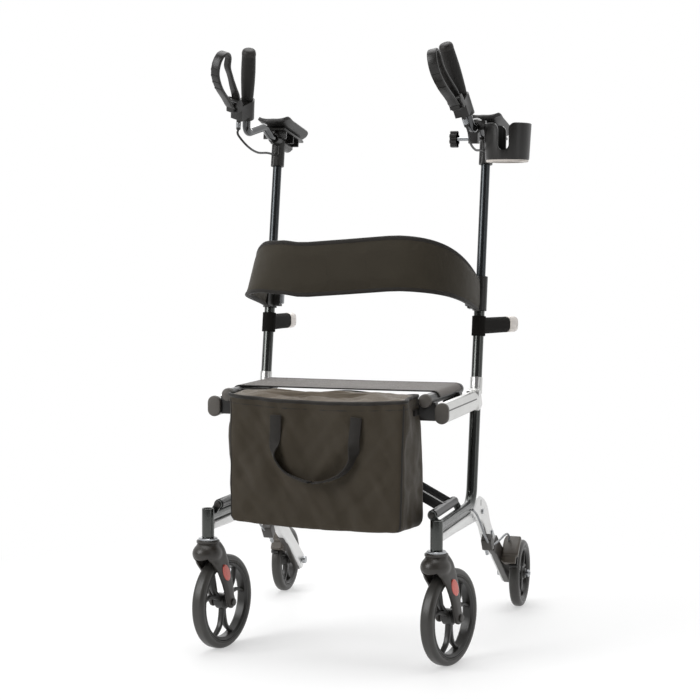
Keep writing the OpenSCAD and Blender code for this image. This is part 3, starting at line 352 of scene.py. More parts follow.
# PVC sheath of a brake cable: black, with a dull shine
SHEATH = Ribbed("pvc_sheath_extruded", "cable", "#222222", "#1b1b1b", 0.38, relief_mm=0.02, rib_mm=6.0)
# Bare brake cable run in a grey liner
LINER = Ribbed("pvc_liner_grey", "cable", "#8c8e90", "#77797c", 0.32, 0.3, rib_mm=3.0)
# Acrylic reflector, moulded red over prisms: bright and wet-looking
LENS = Faceted("acrylic_reflector_red", "dark_plastic", "#cf5a4a", "#b23c30", 0.14, grain_mm=3.2,
               relief_mm=0.3, coat=1.0)


def spline(points: Points, steps: int, closed: bool = False) -> list[Vector]:
    """Run a smooth line through points.

    Args:
        points: Points on the line.
        steps: Stretches between two points.
        closed: Whether the line returns to its start.

    Returns:
        Points along the line.
    """
    given = [Vector(p) for p in points]
    count = len(given)
    spans = count if closed else count - 1

    def at(i: int) -> Vector:
        """Give a point, past the ends too."""
        return given[i % count] if closed else given[min(max(i, 0), count - 1)]

    line = []
    for i in range(spans):
        a, b, c, d = (at(i + k) for k in (-1, 0, 1, 2))
        for k in range(steps):
            t = k / steps
            line.append(0.5 * (2 * b + t * (c - a) + t * t * (2 * a - 5 * b + 4 * c - d)
                               + t ** 3 * (3 * b - a - 3 * c + d)))
    return line if closed else line + [given[-1].copy()]


def bent(points: Points, radius: float, steps: int = 8) -> list[Vector]:
    """Round the corners of a line, as a tube is bent.

    Args:
        points: Corners of the line, with its two ends.
        radius: Radius of each bend.
        steps: Stretches in each bend.

    Returns:
        Points along the line.
    """
    given = [Vector(p) for p in points]
    line = [given[0]]
    for before, corner, after in zip(given, given[1:], given[2:]):
        a, b = (corner - before).normalized(), (after - corner).normalized()
        turn = a.angle(b)
        inward = (b - a * a.dot(b)).normalized()
        start = corner - a * (radius * tan(turn / 2))
        centre = start + inward * radius
        for k in range(steps + 1):
            w = turn * k / steps
            line.append(centre + radius * (sin(w) * a - cos(w) * inward))
    return line + [given[-1]]


def stations(line: Sequence[Vector], closed: bool = False, across: Point = (1, 0, 0)) -> list[Matrix]:
    """Set a frame on each point of a line, carried along without twist.

    Args:
        line: Points of the line.
        closed: Whether the line returns to its start.
        across: Direction that the frames' first axis starts near.

    Returns:
        Frames whose third axis runs along the line.
    """
    count = len(line)
    places, first = [], Vector(across)
    for i, point in enumerate(line):
        ahead = line[(i + 1) % count] if closed else line[min(i + 1, count - 1)]
        behind = line[i - 1] if closed else line[max(i - 1, 0)]
        along = (ahead - behind).normalized()
        first = (first - along * first.dot(along)).normalized()
        places.append(axes(first, along.cross(first), along, point))
    return places


def axes(first: Vector, second: Vector, third: Vector, place: Point) -> Matrix:
    """Frame with three given axes at a place."""
    return shift(place) @ Matrix((first, second, third)).transposed().to_4x4()


def arc(radius: float, start: float, end: float, steps: int) -> Outline:
    """Points on an arc about the origin, from one angle to another, in radians."""
    turns = [start + (end - start) * k / steps for k in range(steps + 1)]
    return [(radius * cos(w), radius * sin(w)) for w in turns]


def disc(radius: float, count: int = 20) -> Outline:
    """Round section of a bar, as points."""
    return arc(radius, 0.0, tau, count)[:-1]


def slab(width: float, height: float, corner: float, steps: int = 4) -> Outline:
    """Outline a rectangle with round corners.

    Args:
        width: Size along the first axis.
        height: Size along the second axis.
        corner: Radius of the corners.
        steps: Stretches in each corner.

    Returns:
        Points round the outline.
    """
    x, y = width / 2 - corner, height / 2 - corner
    outline = []
    for i, (cx, cy) in enumerate(((x, y), (-x, y), (-x, -y), (x, -y))):
        for k in range(steps + 1):
            w = pi / 2 * (i + k / steps)
            outline.append((cx + corner * cos(w), cy + corner * sin(w)))
    return outline


def mirrored(profile: Points) -> list[Point]:
    """Profile of radii and heights, followed by its mirror image below height 0."""
    return list(profile) + [(r, -h) for r, h in reversed(profile)]


def threaded(turn: Points, pitch: float, count: int) -> list[Point]:
    """Profile of a thread or knurl: one turn, repeated at a pitch."""
    return [(r, h + pitch * k) for k in range(count) for r, h in turn]


def clamp(share: float) -> float:
    """Keep a share between 0 and 1."""
    return min(max(share, 0.0), 1.0)


def eased(share: float) -> float:
    """Share that sets out and arrives softly."""
    return 3 * share ** 2 - 2 * share ** 3


class Workpiece:
    """A mesh on the bench, in millimetres, with the operations that shape it.

    NODE_WELD and WELD are the gaps that are closed in a frame node and in a new piece, and FLAT is the
    least turn, in degrees, that is kept between two of a node's triangles.
    """

    NODE_WELD = 0.01
    WELD = 0.005
    FLAT = 0.6

    def __init__(self) -> None:
        """Start with an empty mesh."""
        self.bm = bmesh.new()

    @classmethod
    def from_node(cls, node: str, place: Matrix = TO_METRES) -> Self:
        """Start from a copy of a frame node.

        Args:
            node: Name of the node.
            place: Local frame, in millimetres, that the copy is brought back to.

        Returns:
            The copy, with its triangles joined into faces.
        """
        piece = cls()
        piece.bm.from_mesh(frame["nodes"][node].data)
        piece.turn(place.inverted())
        bmesh.ops.remove_doubles(piece.bm, verts=piece.bm.verts, dist=cls.NODE_WELD)
        bmesh.ops.dissolve_limit(piece.bm, angle_limit=radians(cls.FLAT), verts=piece.bm.verts,
                                 edges=piece.bm.edges)
        for layer in list(piece.bm.loops.layers.uv):
            piece.bm.loops.layers.uv.remove(layer)
        return piece

    def turn(self, matrix: Matrix) -> Self:
        """Move the whole piece by a matrix, and turn its faces back out if that mirrors it.

        Args:
            matrix: The move.

        Returns:
            The piece.
        """
        bmesh.ops.transform(self.bm, matrix=matrix, verts=self.bm.verts)
        if matrix.determinant() < 0:
            bmesh.ops.reverse_faces(self.bm, faces=self.bm.faces)
        return self

    def clean(self) -> Self:
        """Merge doubles and turn the faces outwards."""
        bmesh.ops.remove_doubles(self.bm, verts=self.bm.verts, dist=self.WELD)
        bmesh.ops.recalc_face_normals(self.bm, faces=self.bm.faces)
        return self

    def sift(self, test: Callable[[Vector], bool]) -> Self:
        """Keep the loose shells whose middle passes a test.

        Args:
            test: Test of a point.

        Returns:
            The piece.
        """
        left = set(self.bm.verts)
        while left:
            heap, shell = [left.pop()], []
            while heap:
                vert = heap.pop()
                shell.append(vert)
                fresh = left.intersection(edge.other_vert(vert) for edge in vert.link_edges)
                left -= fresh
                heap += fresh
            if not test(sum((vert.co for vert in shell), Vector()) / len(shell)):
                bmesh.ops.delete(self.bm, geom=shell, context="VERTS")
        return self

    def whole(self) -> list[Vert | Edge | bmesh.types.BMFace]:
        """Everything in the mesh."""
        return self.bm.verts[:] + self.bm.edges[:] + self.bm.faces[:]

    def slice(self, place: Point, away: Point) -> Self:
        """Cut off what lies beyond a plane, and close the cut.

        Args:
            place: Point on the plane.
            away: Direction of what is cut off.

        Returns:
            The piece.
        """
        cut = bmesh.ops.bisect_plane(self.bm, geom=self.whole(), plane_co=place, plane_no=away,
                                     clear_outer=True)
        rim = [g for g in cut["geom_cut"] if isinstance(g, Edge)]
        bmesh.ops.holes_fill(self.bm, edges=rim, sides=0)
        return self

    def copy(self) -> Self:
        """Give a second piece of the same shape.

        Returns:
            The second piece.
        """
        twin = Workpiece()
        twin.bm.free()
        twin.bm = self.bm.copy()
        return twin

    def join(self, other: "Workpiece") -> Self:
        """Take another piece's mesh into this one, and use it up.

        Args:
            other: The other piece.

        Returns:
            This piece.
        """
        mesh = bpy.data.meshes.new("joint")
        other.bm.to_mesh(mesh)
        other.bm.free()
        self.bm.from_mesh(mesh)
        bpy.data.meshes.remove(mesh)
        return self

    def plate(self, outline: Points, depth: Point) -> Self:
        """Add a plate of one outline.

        Args:
            outline: Points round the face.
            depth: Way and length that the face is extruded.

        Returns:
            The piece.
        """
        face = self.bm.faces.new([self.bm.verts.new(p) for p in outline])
        grown = bmesh.ops.extrude_face_region(self.bm, geom=[face], use_keep_orig=True)["geom"]
        bmesh.ops.translate(self.bm, vec=depth, verts=[g for g in grown if isinstance(g, Vert)])
        return self.clean()

    def wire(self, points: Sequence[Vector], closed: bool = False) -> tuple[list[Vert], list[Edge]]:
        """Draw a line of edges through points.

        Args:
            points: Points of the line.
            closed: Whether the line returns to its start.

        Returns:
            Its vertices and its edges.
        """
        verts = [self.bm.verts.new(p) for p in points]
        ends = verts[1:] + verts[:1] if closed else verts[1:]
        return verts, [self.bm.edges.new(pair) for pair in zip(verts, ends)]

    def grow(self, edges: Sequence[Edge]) -> tuple[set[Vert], list[Edge]]:
        """Extrude a line of edges in place.

        Args:
            edges: Edges of the line.

        Returns:
            Vertices and edges of the new line.
        """
        grown = bmesh.ops.extrude_edge_only(self.bm, edges=edges)["geom"]
        fresh = {g for g in grown if isinstance(g, Vert)}
        return fresh, [g for g in grown if isinstance(g, Edge) and fresh.issuperset(g.verts)]

    def sweep(self, section: Points, places: Sequence[Matrix], closed: bool = False) -> Self:
        """Carry a section along frames.

        Args:
            section: Points round the section.
            places: Frames along the line.
            closed: Whether the last frame meets the first.

        Returns:
            The piece.
        """
        _, first = self.wire([places[0] @ Vector((u, v, 0)) for u, v in section], True)
        edges = first
        for before, after in zip(places, places[1:]):
            fresh, edges = self.grow(edges)
            bmesh.ops.transform(self.bm, matrix=after @ before.inverted(), verts=list(fresh))
        if closed:
            bmesh.ops.bridge_loops(self.bm, edges=first + edges)
        else:
            bmesh.ops.contextual_create(self.bm, geom=first)
            bmesh.ops.contextual_create(self.bm, geom=edges)
        return self.clean()

    def loft(self, rings: Sequence[Sequence[Vector]]) -> Self:
        """Draw a sheet up through rings of equally many points, from a floor in the first ring.

        Args:
            rings: Points round each ring.

        Returns:
            The piece.
        """
        column = self.bm.verts.layers.int.new("column")
        verts, floor = self.wire(rings[0], True)
        for k, vert in enumerate(verts):
            vert[column] = k
        edges = floor
        for ring in rings[1:]:
            fresh, edges = self.grow(edges)
            for vert in fresh:
                vert.co = ring[vert[column]]
        bmesh.ops.contextual_create(self.bm, geom=floor)
        return self.clean()

    def tube(self, line: Sequence[Vector], radius: float, count: int = 20) -> Self:
        """Add a round bar along a line."""
        return self.sweep(disc(radius, count), stations(line))

    def lathe(self, profile: Points, place: Matrix | None = None, ring: bool = False,
              steps: int = 64) -> Self:
        """Turn a profile round an axis.

        Args:
            profile: Radius and height of each point.
            place: Frame whose third axis is the axis of turning.
            ring: Whether the profile closes on itself.
            steps: Facets of a full turn.

        Returns:
            The piece.
        """
        place = place or Matrix.Identity(4)
        verts, edges = self.wire([place @ Vector((r, 0, h)) for r, h in profile], ring)
        axis = place.col[2].xyz.normalized()
        bmesh.ops.spin(self.bm, geom=verts + edges, cent=place.translation, axis=axis, dvec=(0, 0, 0),
                       angle=tau, steps=steps, use_merge=True, use_duplicate=False)
        return self.clean()

    def drum(self, radius: float, low: float, high: float, place: Matrix | None = None,
             steps: int = 64) -> Self:
        """Turn a plain drum between two heights."""
        return self.lathe([(0, low), (radius, low), (radius, high), (0, high)], place, steps=steps)

    def bevel(self, width: float, segments: int = 3, angle: float = 28.0) -> Self:
        """Round the edges that are sharper than an angle.

        Args:
            width: Set-back of the rounding.
            segments: Facets across it.
            angle: Least turn of an edge that is rounded, in degrees.

        Returns:
            The piece.
        """
        least = radians(angle)
        sharp = [e for e in self.bm.edges if len(e.link_faces) == 2 and e.calc_face_angle() > least]
        bmesh.ops.bevel(self.bm, geom=sharp, offset=width, offset_type="OFFSET", segments=segments,
                        profile=0.5, affect="EDGES", clamp_overlap=True, material=-1)
        return self

    def bench(self) -> bpy.types.Object:
        """Set the piece out as an object, for a modifier to work on."""
        mesh = bpy.data.meshes.new("bench")
        self.bm.to_mesh(mesh)
        return stand("bench", mesh)

    def take(self, tool: bpy.types.Object) -> Self:
        """Take the piece back from the bench with its modifiers applied.

        Args:
            tool: Its object there.

        Returns:
            The piece.
        """
        done = tool.evaluated_get(bpy.context.evaluated_depsgraph_get())
        mesh = bpy.data.meshes.new_from_object(done)
        self.bm.clear()
        self.bm.from_mesh(mesh)
        bpy.data.objects.remove(tool)
        bpy.data.meshes.remove(mesh)
        return self

    @staticmethod
    def soften(tool: bpy.types.Object, passes: int) -> None:
        """Add rounds of smoothing to a piece on the bench."""
        soft = tool.modifiers.new("soft", "SMOOTH")
        soft.factor, soft.iterations = 0.5, passes

    @staticmethod
    def subdivide(tool: bpy.types.Object, levels: int) -> None:
        """Add rounds of subdivision to a piece on the bench."""
        skin = tool.modifiers.new("skin", "SUBSURF")
        skin.levels = skin.render_levels = levels

    def rounded(self, voxel: float, passes: int) -> Self:
        """Melt the edges as a moulding has them.

        Args:
            voxel: Size of the remesh.
            passes: Rounds of smoothing.

        Returns:
            The piece.
        """
        tool = self.bench()
        grid = tool.modifiers.new("grid", "REMESH")
        grid.mode, grid.voxel_size = "VOXEL", voxel
        self.soften(tool, passes)
        return self.take(tool)

    def inflate(self, voxel: float, pressure: float, cap: Callable[[Vector], float],
                frames: int = 20) -> Self:
        """Swell padded cloth with air in a short cloth run, and smooth it.

        Args:
            voxel: Size of the remesh.
            pressure: Pressure of the air.
            cap: Longest way that the point at a place may move.
            frames: Length of the run.

        Returns:
            The piece.
        """
        self.rounded(voxel, 1)
        before = [vert.co.copy() for vert in self.bm.verts]
        tool = self.turn(TO_METRES).bench()
        air = tool.modifiers.new("air", "CLOTH")
        air.settings.use_pressure = True
        air.settings.uniform_pressure_force = pressure
        air.settings.effector_weights.gravity = 0.0
        air.collision_settings.use_collision = False
        for step in range(1, frames + 1):
            bpy.context.scene.frame_set(step)
        self.take(tool).turn(TO_METRES.inverted())
        bpy.context.scene.frame_set(1)
        for vert, was in zip(self.bm.verts, before):
            move = vert.co - was
            vert.co = was + move * min(cap(was) / max(move.length, 1e-6), 1.0)
        tool = self.bench()
        self.soften(tool, 3)
        self.subdivide(tool, 1)
        return self.take(tool)

    def carve(self, cutter: "Workpiece") -> Self:
        """Cut another piece's volume out of this one.

        Args:
            cutter: Piece that is used up.

        Returns:
            The piece.
        """
        tool, knife = self.bench(), cutter.bench()
        cut = tool.modifiers.new("cut", "BOOLEAN")
        cut.operation, cut.object, cut.solver = "DIFFERENCE", knife, "EXACT"
        self.take(tool)
        bpy.data.objects.remove(knife)
        cutter.bm.free()
        return self

    def thicken(self, thickness: float, levels: int = 1) -> Self:
        """Give an open sheet its thickness and a smooth skin.

        Args:
            thickness: Thickness, shared by both faces.
            levels: Rounds of subdivision.

        Returns:
            The piece.
        """
        tool = self.bench()
        wall = tool.modifiers.new("wall", "SOLIDIFY")
        wall.thickness, wall.offset = thickness, 0.0
        self.subdivide(tool, levels)
        return self.take(tool)

    def chart(self, lay: Callable[[Vector], tuple[float, float]]) -> Self:
        """Write the map that a weave follows.

        Args:
            lay: Place on the cloth, in millimetres, of a point of the piece.

        Returns:
            The piece.
        """
        layer = self.bm.loops.layers.uv.new("lay")
        for face in self.bm.faces:
            for loop in face.loops:
                u, v = lay(loop.vert.co)
                loop[layer].uv = (u * MM, v * MM)
        return self

    def dress(self, name: str, finish: Finish, body: str | None, place: Matrix = TO_METRES,
              replaces: Sequence[str] = (), sharp: float = 35.0) -> bpy.types.Object:
        """Finish the piece as an object of the scene.

        Args:
            name: Name of the object.
            finish: Its surface.
            body: Body that it rides on, or none to leave it unattached.
            place: Local frame that the piece was made in.
            replaces: Frame nodes that it stands for.
            sharp: Least turn of an edge that is drawn sharp, in degrees.

        Returns:
            The object.
        """
        self.turn(place)
        mesh = bpy.data.meshes.new(name)
        self.bm.to_mesh(mesh)
        self.bm.free()
        mesh.shade_smooth()
        mesh.set_sharp_from_angle(angle=radians(sharp))
        mesh.materials.append(finish.material())
        piece = stand(name, mesh)
        if body:
            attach(piece, body)
        if replaces:
            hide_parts(*replaces)
        LOG.info("%s: %d faces, %s", name, len(mesh.polygons), finish.name)
        return piece


def carry(node: str, name: str, finish: Finish, body: str, edge: float, place: Matrix = TO_METRES) -> None:
    """Carry a frame node over in its own shape, with its edges rounded in a local frame."""
    Workpiece.from_node(node, place).bevel(edge).dress(name, finish, body, place, [node])


@dataclass(frozen=True)
class Datum:
    """Setting-out lines of the walker. Its local lengths are millimetres: x outward, y back, z up."""

    axle_back: float = 321.0
    post_foot: Point = (250.0, -10.0, 293.0)
    arm_rise: float = 818.0
    grip_foot: Point = (-7.0, -243.9, 54.2)
    grip_tilt: float = 36.6
    grip_in: float = 11.5
    toe_left: float = 0.0
    toe_right: float = 19.0

    @property
    def lean(self) -> float:
        """Lean of the posts, in radians, from the line that the arms slide on."""
        axis = JOINTS["arm_height_left"]["axis"]
        return atan2(axis[1], axis[2])

    def walker(self, side: Side = Side.LEFT) -> Matrix:
        """Frame on the floor in the walker's middle, mirrored for the right side."""
        middle = JOINTS["fold_cross"]["pos_m"][0]
        line = JOINTS["rear_wheel_spin_left"]["pos_m"][1] - self.axle_back * MM
        return shift((middle, line, 0)) @ Matrix.Diagonal((side.value * MM, MM, MM, 1))

    def post(self, side: Side, rise: float = 0.0) -> Matrix:
        """Frame on a post's axis, with its third axis up the post."""
        foot = self.walker(side) @ shift(self.post_foot) @ Matrix.Rotation(-self.lean, 4, "X")
        return foot @ shift((0, 0, rise))

    def arm(self, side: Side) -> Matrix:
        """Frame at the top of a post, with its second axis back under the arm pad."""
        return self.post(side, self.arm_rise)

    def grip(self, side: Side) -> Matrix:
        """Frame at the foot of a hand grip, with its third axis up the grip."""
        tilt = Matrix.Rotation(radians(self.grip_tilt), 4, "X")
        lay = Matrix.Rotation(-radians(self.grip_in), 4, "Y")
        return self.arm(side) @ shift(self.grip_foot) @ tilt @ lay

    def lever(self, side: Side) -> Matrix:
        """Frame of a brake lever: the grip's, turned out by the lever's toe."""
        toe = self.toe_left if side is Side.LEFT else self.toe_right
        return self.grip(side) @ Matrix.Rotation(radians(toe), 4, "Z")

    def caster(self, side: Side) -> Matrix:
        """Frame on the floor under a caster's stem, turned with the caster.

        Args:
            side: Side of the walker.

        Returns:
            The frame.
        """
        x, y, _ = JOINTS[f"caster_swivel_{side.tag}"]["pos_m"]
        axis = JOINTS[f"front_wheel_spin_{side.tag}"]["axis"]
        turn = Matrix.Rotation(atan2(axis[1], axis[0]), 4, "Z")
        return shift((x, y, 0)) @ turn @ TO_METRES


DATUM = Datum()
ON_X = Matrix.Rotation(pi / 2, 4, "Y")


@dataclass(frozen=True)
class Softbox:
    """A lamp: its name, where it hangs, its two sides and its power in watts."""

    name: str
    place: Point
    width: float
    height: float
    watts: float


@dataclass(frozen=True)
class Studio:
    """Camera, floor and lamps. Lengths are metres."""

    lens_mm: float = 85.638
    sensor_mm: float = 36.0
    sight: float = 60.0
    eye_at: Point = (1.013117, -3.622719, 0.879447)
    yaw: float = 16.5601
    pitch: float = -3.73985
    roll: float = 0.22265
    aim: Point = (0.0, 0.0, 0.65)
    floor_radius: float = 14.0
    floor_paint: str = "#fbfbfb"
    fade_from: float = 0.3
    fade_to: float = 1.3
    fade_least: float = 0.45
    dusk_half: float = 0.7
    front_level: float = 0.10
    back_level: float = 0.95
    softboxes: Sequence[Softbox] = (Softbox("softbox_left", (-2.4, -2.6, 2.2), 1.8, 2.2, 84.0),
                                    Softbox("softbox_right", (2.9, -1.2, 1.6), 0.9, 2.6, 9.0),
                                    Softbox("softbox_top", (-0.2, 0.1, 3.2), 2.4, 2.4, 52.0),
                                    Softbox("softbox_back", (-0.9, 3.0, 2.0), 2.6, 1.2, 20.0))

    def build(self) -> None:
        """Set the studio up round the walker."""
        self.camera()
        self.floor()
        self.world()
        for box in self.softboxes:
            self.lamp(box)

    def camera(self) -> None:
        """Put the camera where the photograph was taken from."""
        data = bpy.data.cameras.new("camera")
        data.lens, data.sensor_width, data.clip_end = self.lens_mm, self.sensor_mm, self.sight
        a, e, r = (radians(v) for v in (self.yaw, self.pitch, self.roll))
        ahead = Vector((-sin(a) * cos(e), cos(a) * cos(e), sin(e)))
        right = Vector((cos(a), sin(a), 0))
        up = right.cross(ahead)
        across, upward = cos(r) * right + sin(r) * up, cos(r) * up - sin(r) * right
        eye = stand("camera", data)
        eye.matrix_world = axes(across, upward, -ahead, self.eye_at)
        bpy.context.scene.camera = eye

    def seen(self, tree: Tree, *kinds: str) -> Socket:
        """Tell some kinds of light ray from the others.

        Args:
            tree: Node tree that takes the nodes.
            kinds: Outputs of the light path, such as Is Camera Ray.

        Returns:
            1 for a ray of these kinds, or else 0.
        """
        path = add(tree, "ShaderNodeLightPath").outputs
        share = path[kinds[0]]
        for kind in kinds[1:]:
            share = add(tree, "ShaderNodeMath", {0: share, 1: path[kind]}, operation="MAXIMUM").outputs[0]
        return share

    def floor(self) -> None:
        """Lay a pale floor that keeps the shadow near the walker and runs into the white backdrop."""
        piece = bmesh.new()
        bmesh.ops.create_circle(piece, cap_ends=True, segments=64, radius=self.floor_radius)
        mesh = bpy.data.meshes.new("floor")
        piece.to_mesh(mesh)
        piece.free()
        floor = stand("floor", mesh)
        material = bpy.data.materials.new("studio_floor_painted")
        material.use_nodes = True
        tree = material.node_tree
        tree.nodes.remove(tree.nodes["Principled BSDF"])
        paint = add(tree, "ShaderNodeBsdfDiffuse", {"Color": linear(self.floor_paint)})
        white = add(tree, "ShaderNodeEmission", {"Color": (1, 1, 1, 1), "Strength": 1.0})
        place = add(tree, "ShaderNodeTexCoord").outputs["Object"]
        away = add(tree, "ShaderNodeVectorMath", {0: place}, operation="LENGTH").outputs["Value"]
        fade = add(tree, "ShaderNodeMapRange", {"Value": away, "From Min": self.fade_from,
                                                "From Max": self.fade_to, "To Min": self.fade_least},
                   interpolation_type="SMOOTHSTEP").outputs["Result"]
        seen = self.seen(tree, "Is Camera Ray", "Is Glossy Ray", "Is Transmission Ray")
        share = add(tree, "ShaderNodeMath", {0: fade, 1: seen}, operation="MULTIPLY").outputs[0]
        mix = add(tree, "ShaderNodeMixShader", {0: share, 1: paint.outputs[0], 2: white.outputs[0]})
        tree.links.new(mix.outputs[0], tree.nodes["Material Output"].inputs["Surface"])
        mesh.materials.append(material)

    def world(self) -> None:
        """Surround the walker with white, dimmed on the camera's side where it only lights."""
        world = bpy.data.worlds.new("backdrop")
        bpy.context.scene.world = world
        world.use_nodes = True
        tree = world.node_tree
        way = add(tree, "ShaderNodeSeparateXYZ", {0: add(tree, "ShaderNodeTexCoord").outputs["Generated"]})
        dim = add(tree, "ShaderNodeMapRange", {"Value": way.outputs["Y"], "From Min": -self.dusk_half,
                                               "From Max": self.dusk_half, "To Min": self.front_level,
                                               "To Max": self.back_level},
                  interpolation_type="SMOOTHSTEP").outputs["Result"]
        seen = self.seen(tree, "Is Camera Ray", "Is Transmission Ray")
        level = add(tree, "ShaderNodeMapRange", {"Value": seen, "To Min": dim, "To Max": 1.0})
        sky = tree.nodes["Background"]
        sky.inputs["Color"].default_value = (1, 1, 1, 1)
        tree.links.new(level.outputs["Result"], sky.inputs["Strength"])
        bpy.context.scene.view_settings.view_transform = "Standard"

    def lamp(self, box: Softbox) -> None:
        """Hang a softbox that looks at the walker.

        Args:
            box: The lamp.
        """
        data = bpy.data.lights.new(box.name, "AREA")
        data.shape, data.size, data.size_y, data.energy = "RECTANGLE", box.width, box.height, box.watts
        lamp = stand(box.name, data)
        lamp.location = box.place
        lamp.rotation_euler = (Vector(self.aim) - Vector(box.place)).to_track_quat("-Z", "Y").to_euler()


@dataclass(frozen=True)
class Wheel:
    """A solid tyre on a moulded rim with forked spokes."""

    radius: float
    width: float
    hub_half: float
    bore: float
    tyre_depth: float = 17.0
    tread_round: float = 9.0
    bead: Points = ((0.0, 2.5), (0.8, 1.0), (2.6, 0.5), (3.4, 1.7), (4.2, 0.6))
    rim_gap: float = 0.1
    rim_depth: float = 7.0
    rim_side: float = 3.0
    lip: Points = ((0.0, 0.0), (1.0, -1.6), (2.6, -1.6))
    well: Points = ((1.8, 0.6), (0.0, 3.0))
    hub_r: float = 17.0
    waist: Points = ((6.0, 0.5), (5.0, 1.4), (4.4, 5.0), (0.0, 7.5))
    spoke_pairs: int = 3
    spoke_wide: float = 7.5
    spoke_thick: float = 13.0
    spoke_round: float = 2.6
    spoke_root: Point = (6.0, 6.0)
    spoke_bows: Points = ((0.40, 7.0), (0.70, 13.0), (1.0, 25.0))
    spoke_taper: Points = ((1.3, 0.5), (1.1, 0.25))

    def build(self, end: str, tag: str, hub: Matrix) -> None:
        """Build and dress a wheel.

        Args:
            end: Front or rear.
            tag: Side of the walker.
            hub: Frame in its middle, with its third axis along the axle.
        """
        body = f"{end}_wheel_{tag}"
        self.tyre().dress(f"{end}_tread_{tag}", TYRE, body, hub, [f"{end}_tyre_{tag}"])
        self.rim().dress(f"{end}_spokes_{tag}", RIM, body, hub, [f"{end}_rim_{tag}"])

    def tyre(self) -> Workpiece:
        """Turn the tyre, with a bead next to the rim.

        Returns:
            The tyre, with its axis on Z.
        """
        inner, half = self.radius - self.tyre_depth, self.width / 2
        shoulder, flat = self.radius - self.tread_round, half - self.tread_round
        side = [(inner + rise, half - step) for rise, step in self.bead] + [(shoulder, half)]
        tread = [(shoulder + b, flat + a) for a, b in arc(self.tread_round, 0.0, pi / 2, 7)[1:]]
        return Workpiece().lathe(mirrored(side + tread), ring=True, steps=96)

    def rim(self) -> Workpiece:
        """Build the rim: a ring with lips, a waisted hub, and spokes that part in pairs towards the ring.

        Returns:
            The rim, with its axis on Z.
        """
        outer, half = self.radius - self.tyre_depth - self.rim_gap, self.width / 2 - self.rim_side
        inner = outer - self.rim_depth
        ring = [(outer - back, half - step) for back, step in self.lip]
        ring += [(inner + rise, half - step) for rise, step in self.well]
        below = [(r, -h) for r, h in reversed(ring)]
        piece = Workpiece().lathe(ring + [(inner, 0.0)] + below, ring=True, steps=96)
        hub = [(self.bore, self.hub_half - self.waist[0][1])]
        hub += [(self.hub_r - back, self.hub_half - step) for back, step in self.waist]
        piece.lathe(mirrored(hub), ring=True, steps=48)
        section = slab(self.spoke_wide, self.spoke_thick, self.spoke_round, 3)
        for pair in range(self.spoke_pairs):
            for part in (-1, 1):
                turn = tau * pair / self.spoke_pairs
                piece.sweep(section, self.spoke(inner + self.rim_depth / 2, turn, part))
        return piece

    def spoke(self, reach: float, turn: float, part: int) -> list[Matrix]:
        """Set the frames of a spoke, which bows away from its pair's middle line and slims outwards.

        Args:
            reach: Radius of its outer end.
            turn: Angle of the pair's middle line.
            part: Side of that line, 1 or -1.

        Returns:
            Frames along the spoke.
        """
        bows = [(self.hub_r - self.spoke_root[0], self.spoke_root[1])]
        bows += [(reach * share, bow) for share, bow in self.spoke_bows]
        angles = [turn + part * radians(bow) for _, bow in bows]
        line = [(r * cos(w), r * sin(w), 0) for (r, _), w in zip(bows, angles)]
        places = stations(spline(line, 5), across=(-sin(turn), cos(turn), 0))
        count = len(places) - 1
        scales = [[start - loss * k / count for start, loss in self.spoke_taper] for k in range(count + 1)]
        return [spot @ Matrix.Diagonal((*scale, 1, 1)) for spot, scale in zip(places, scales)]


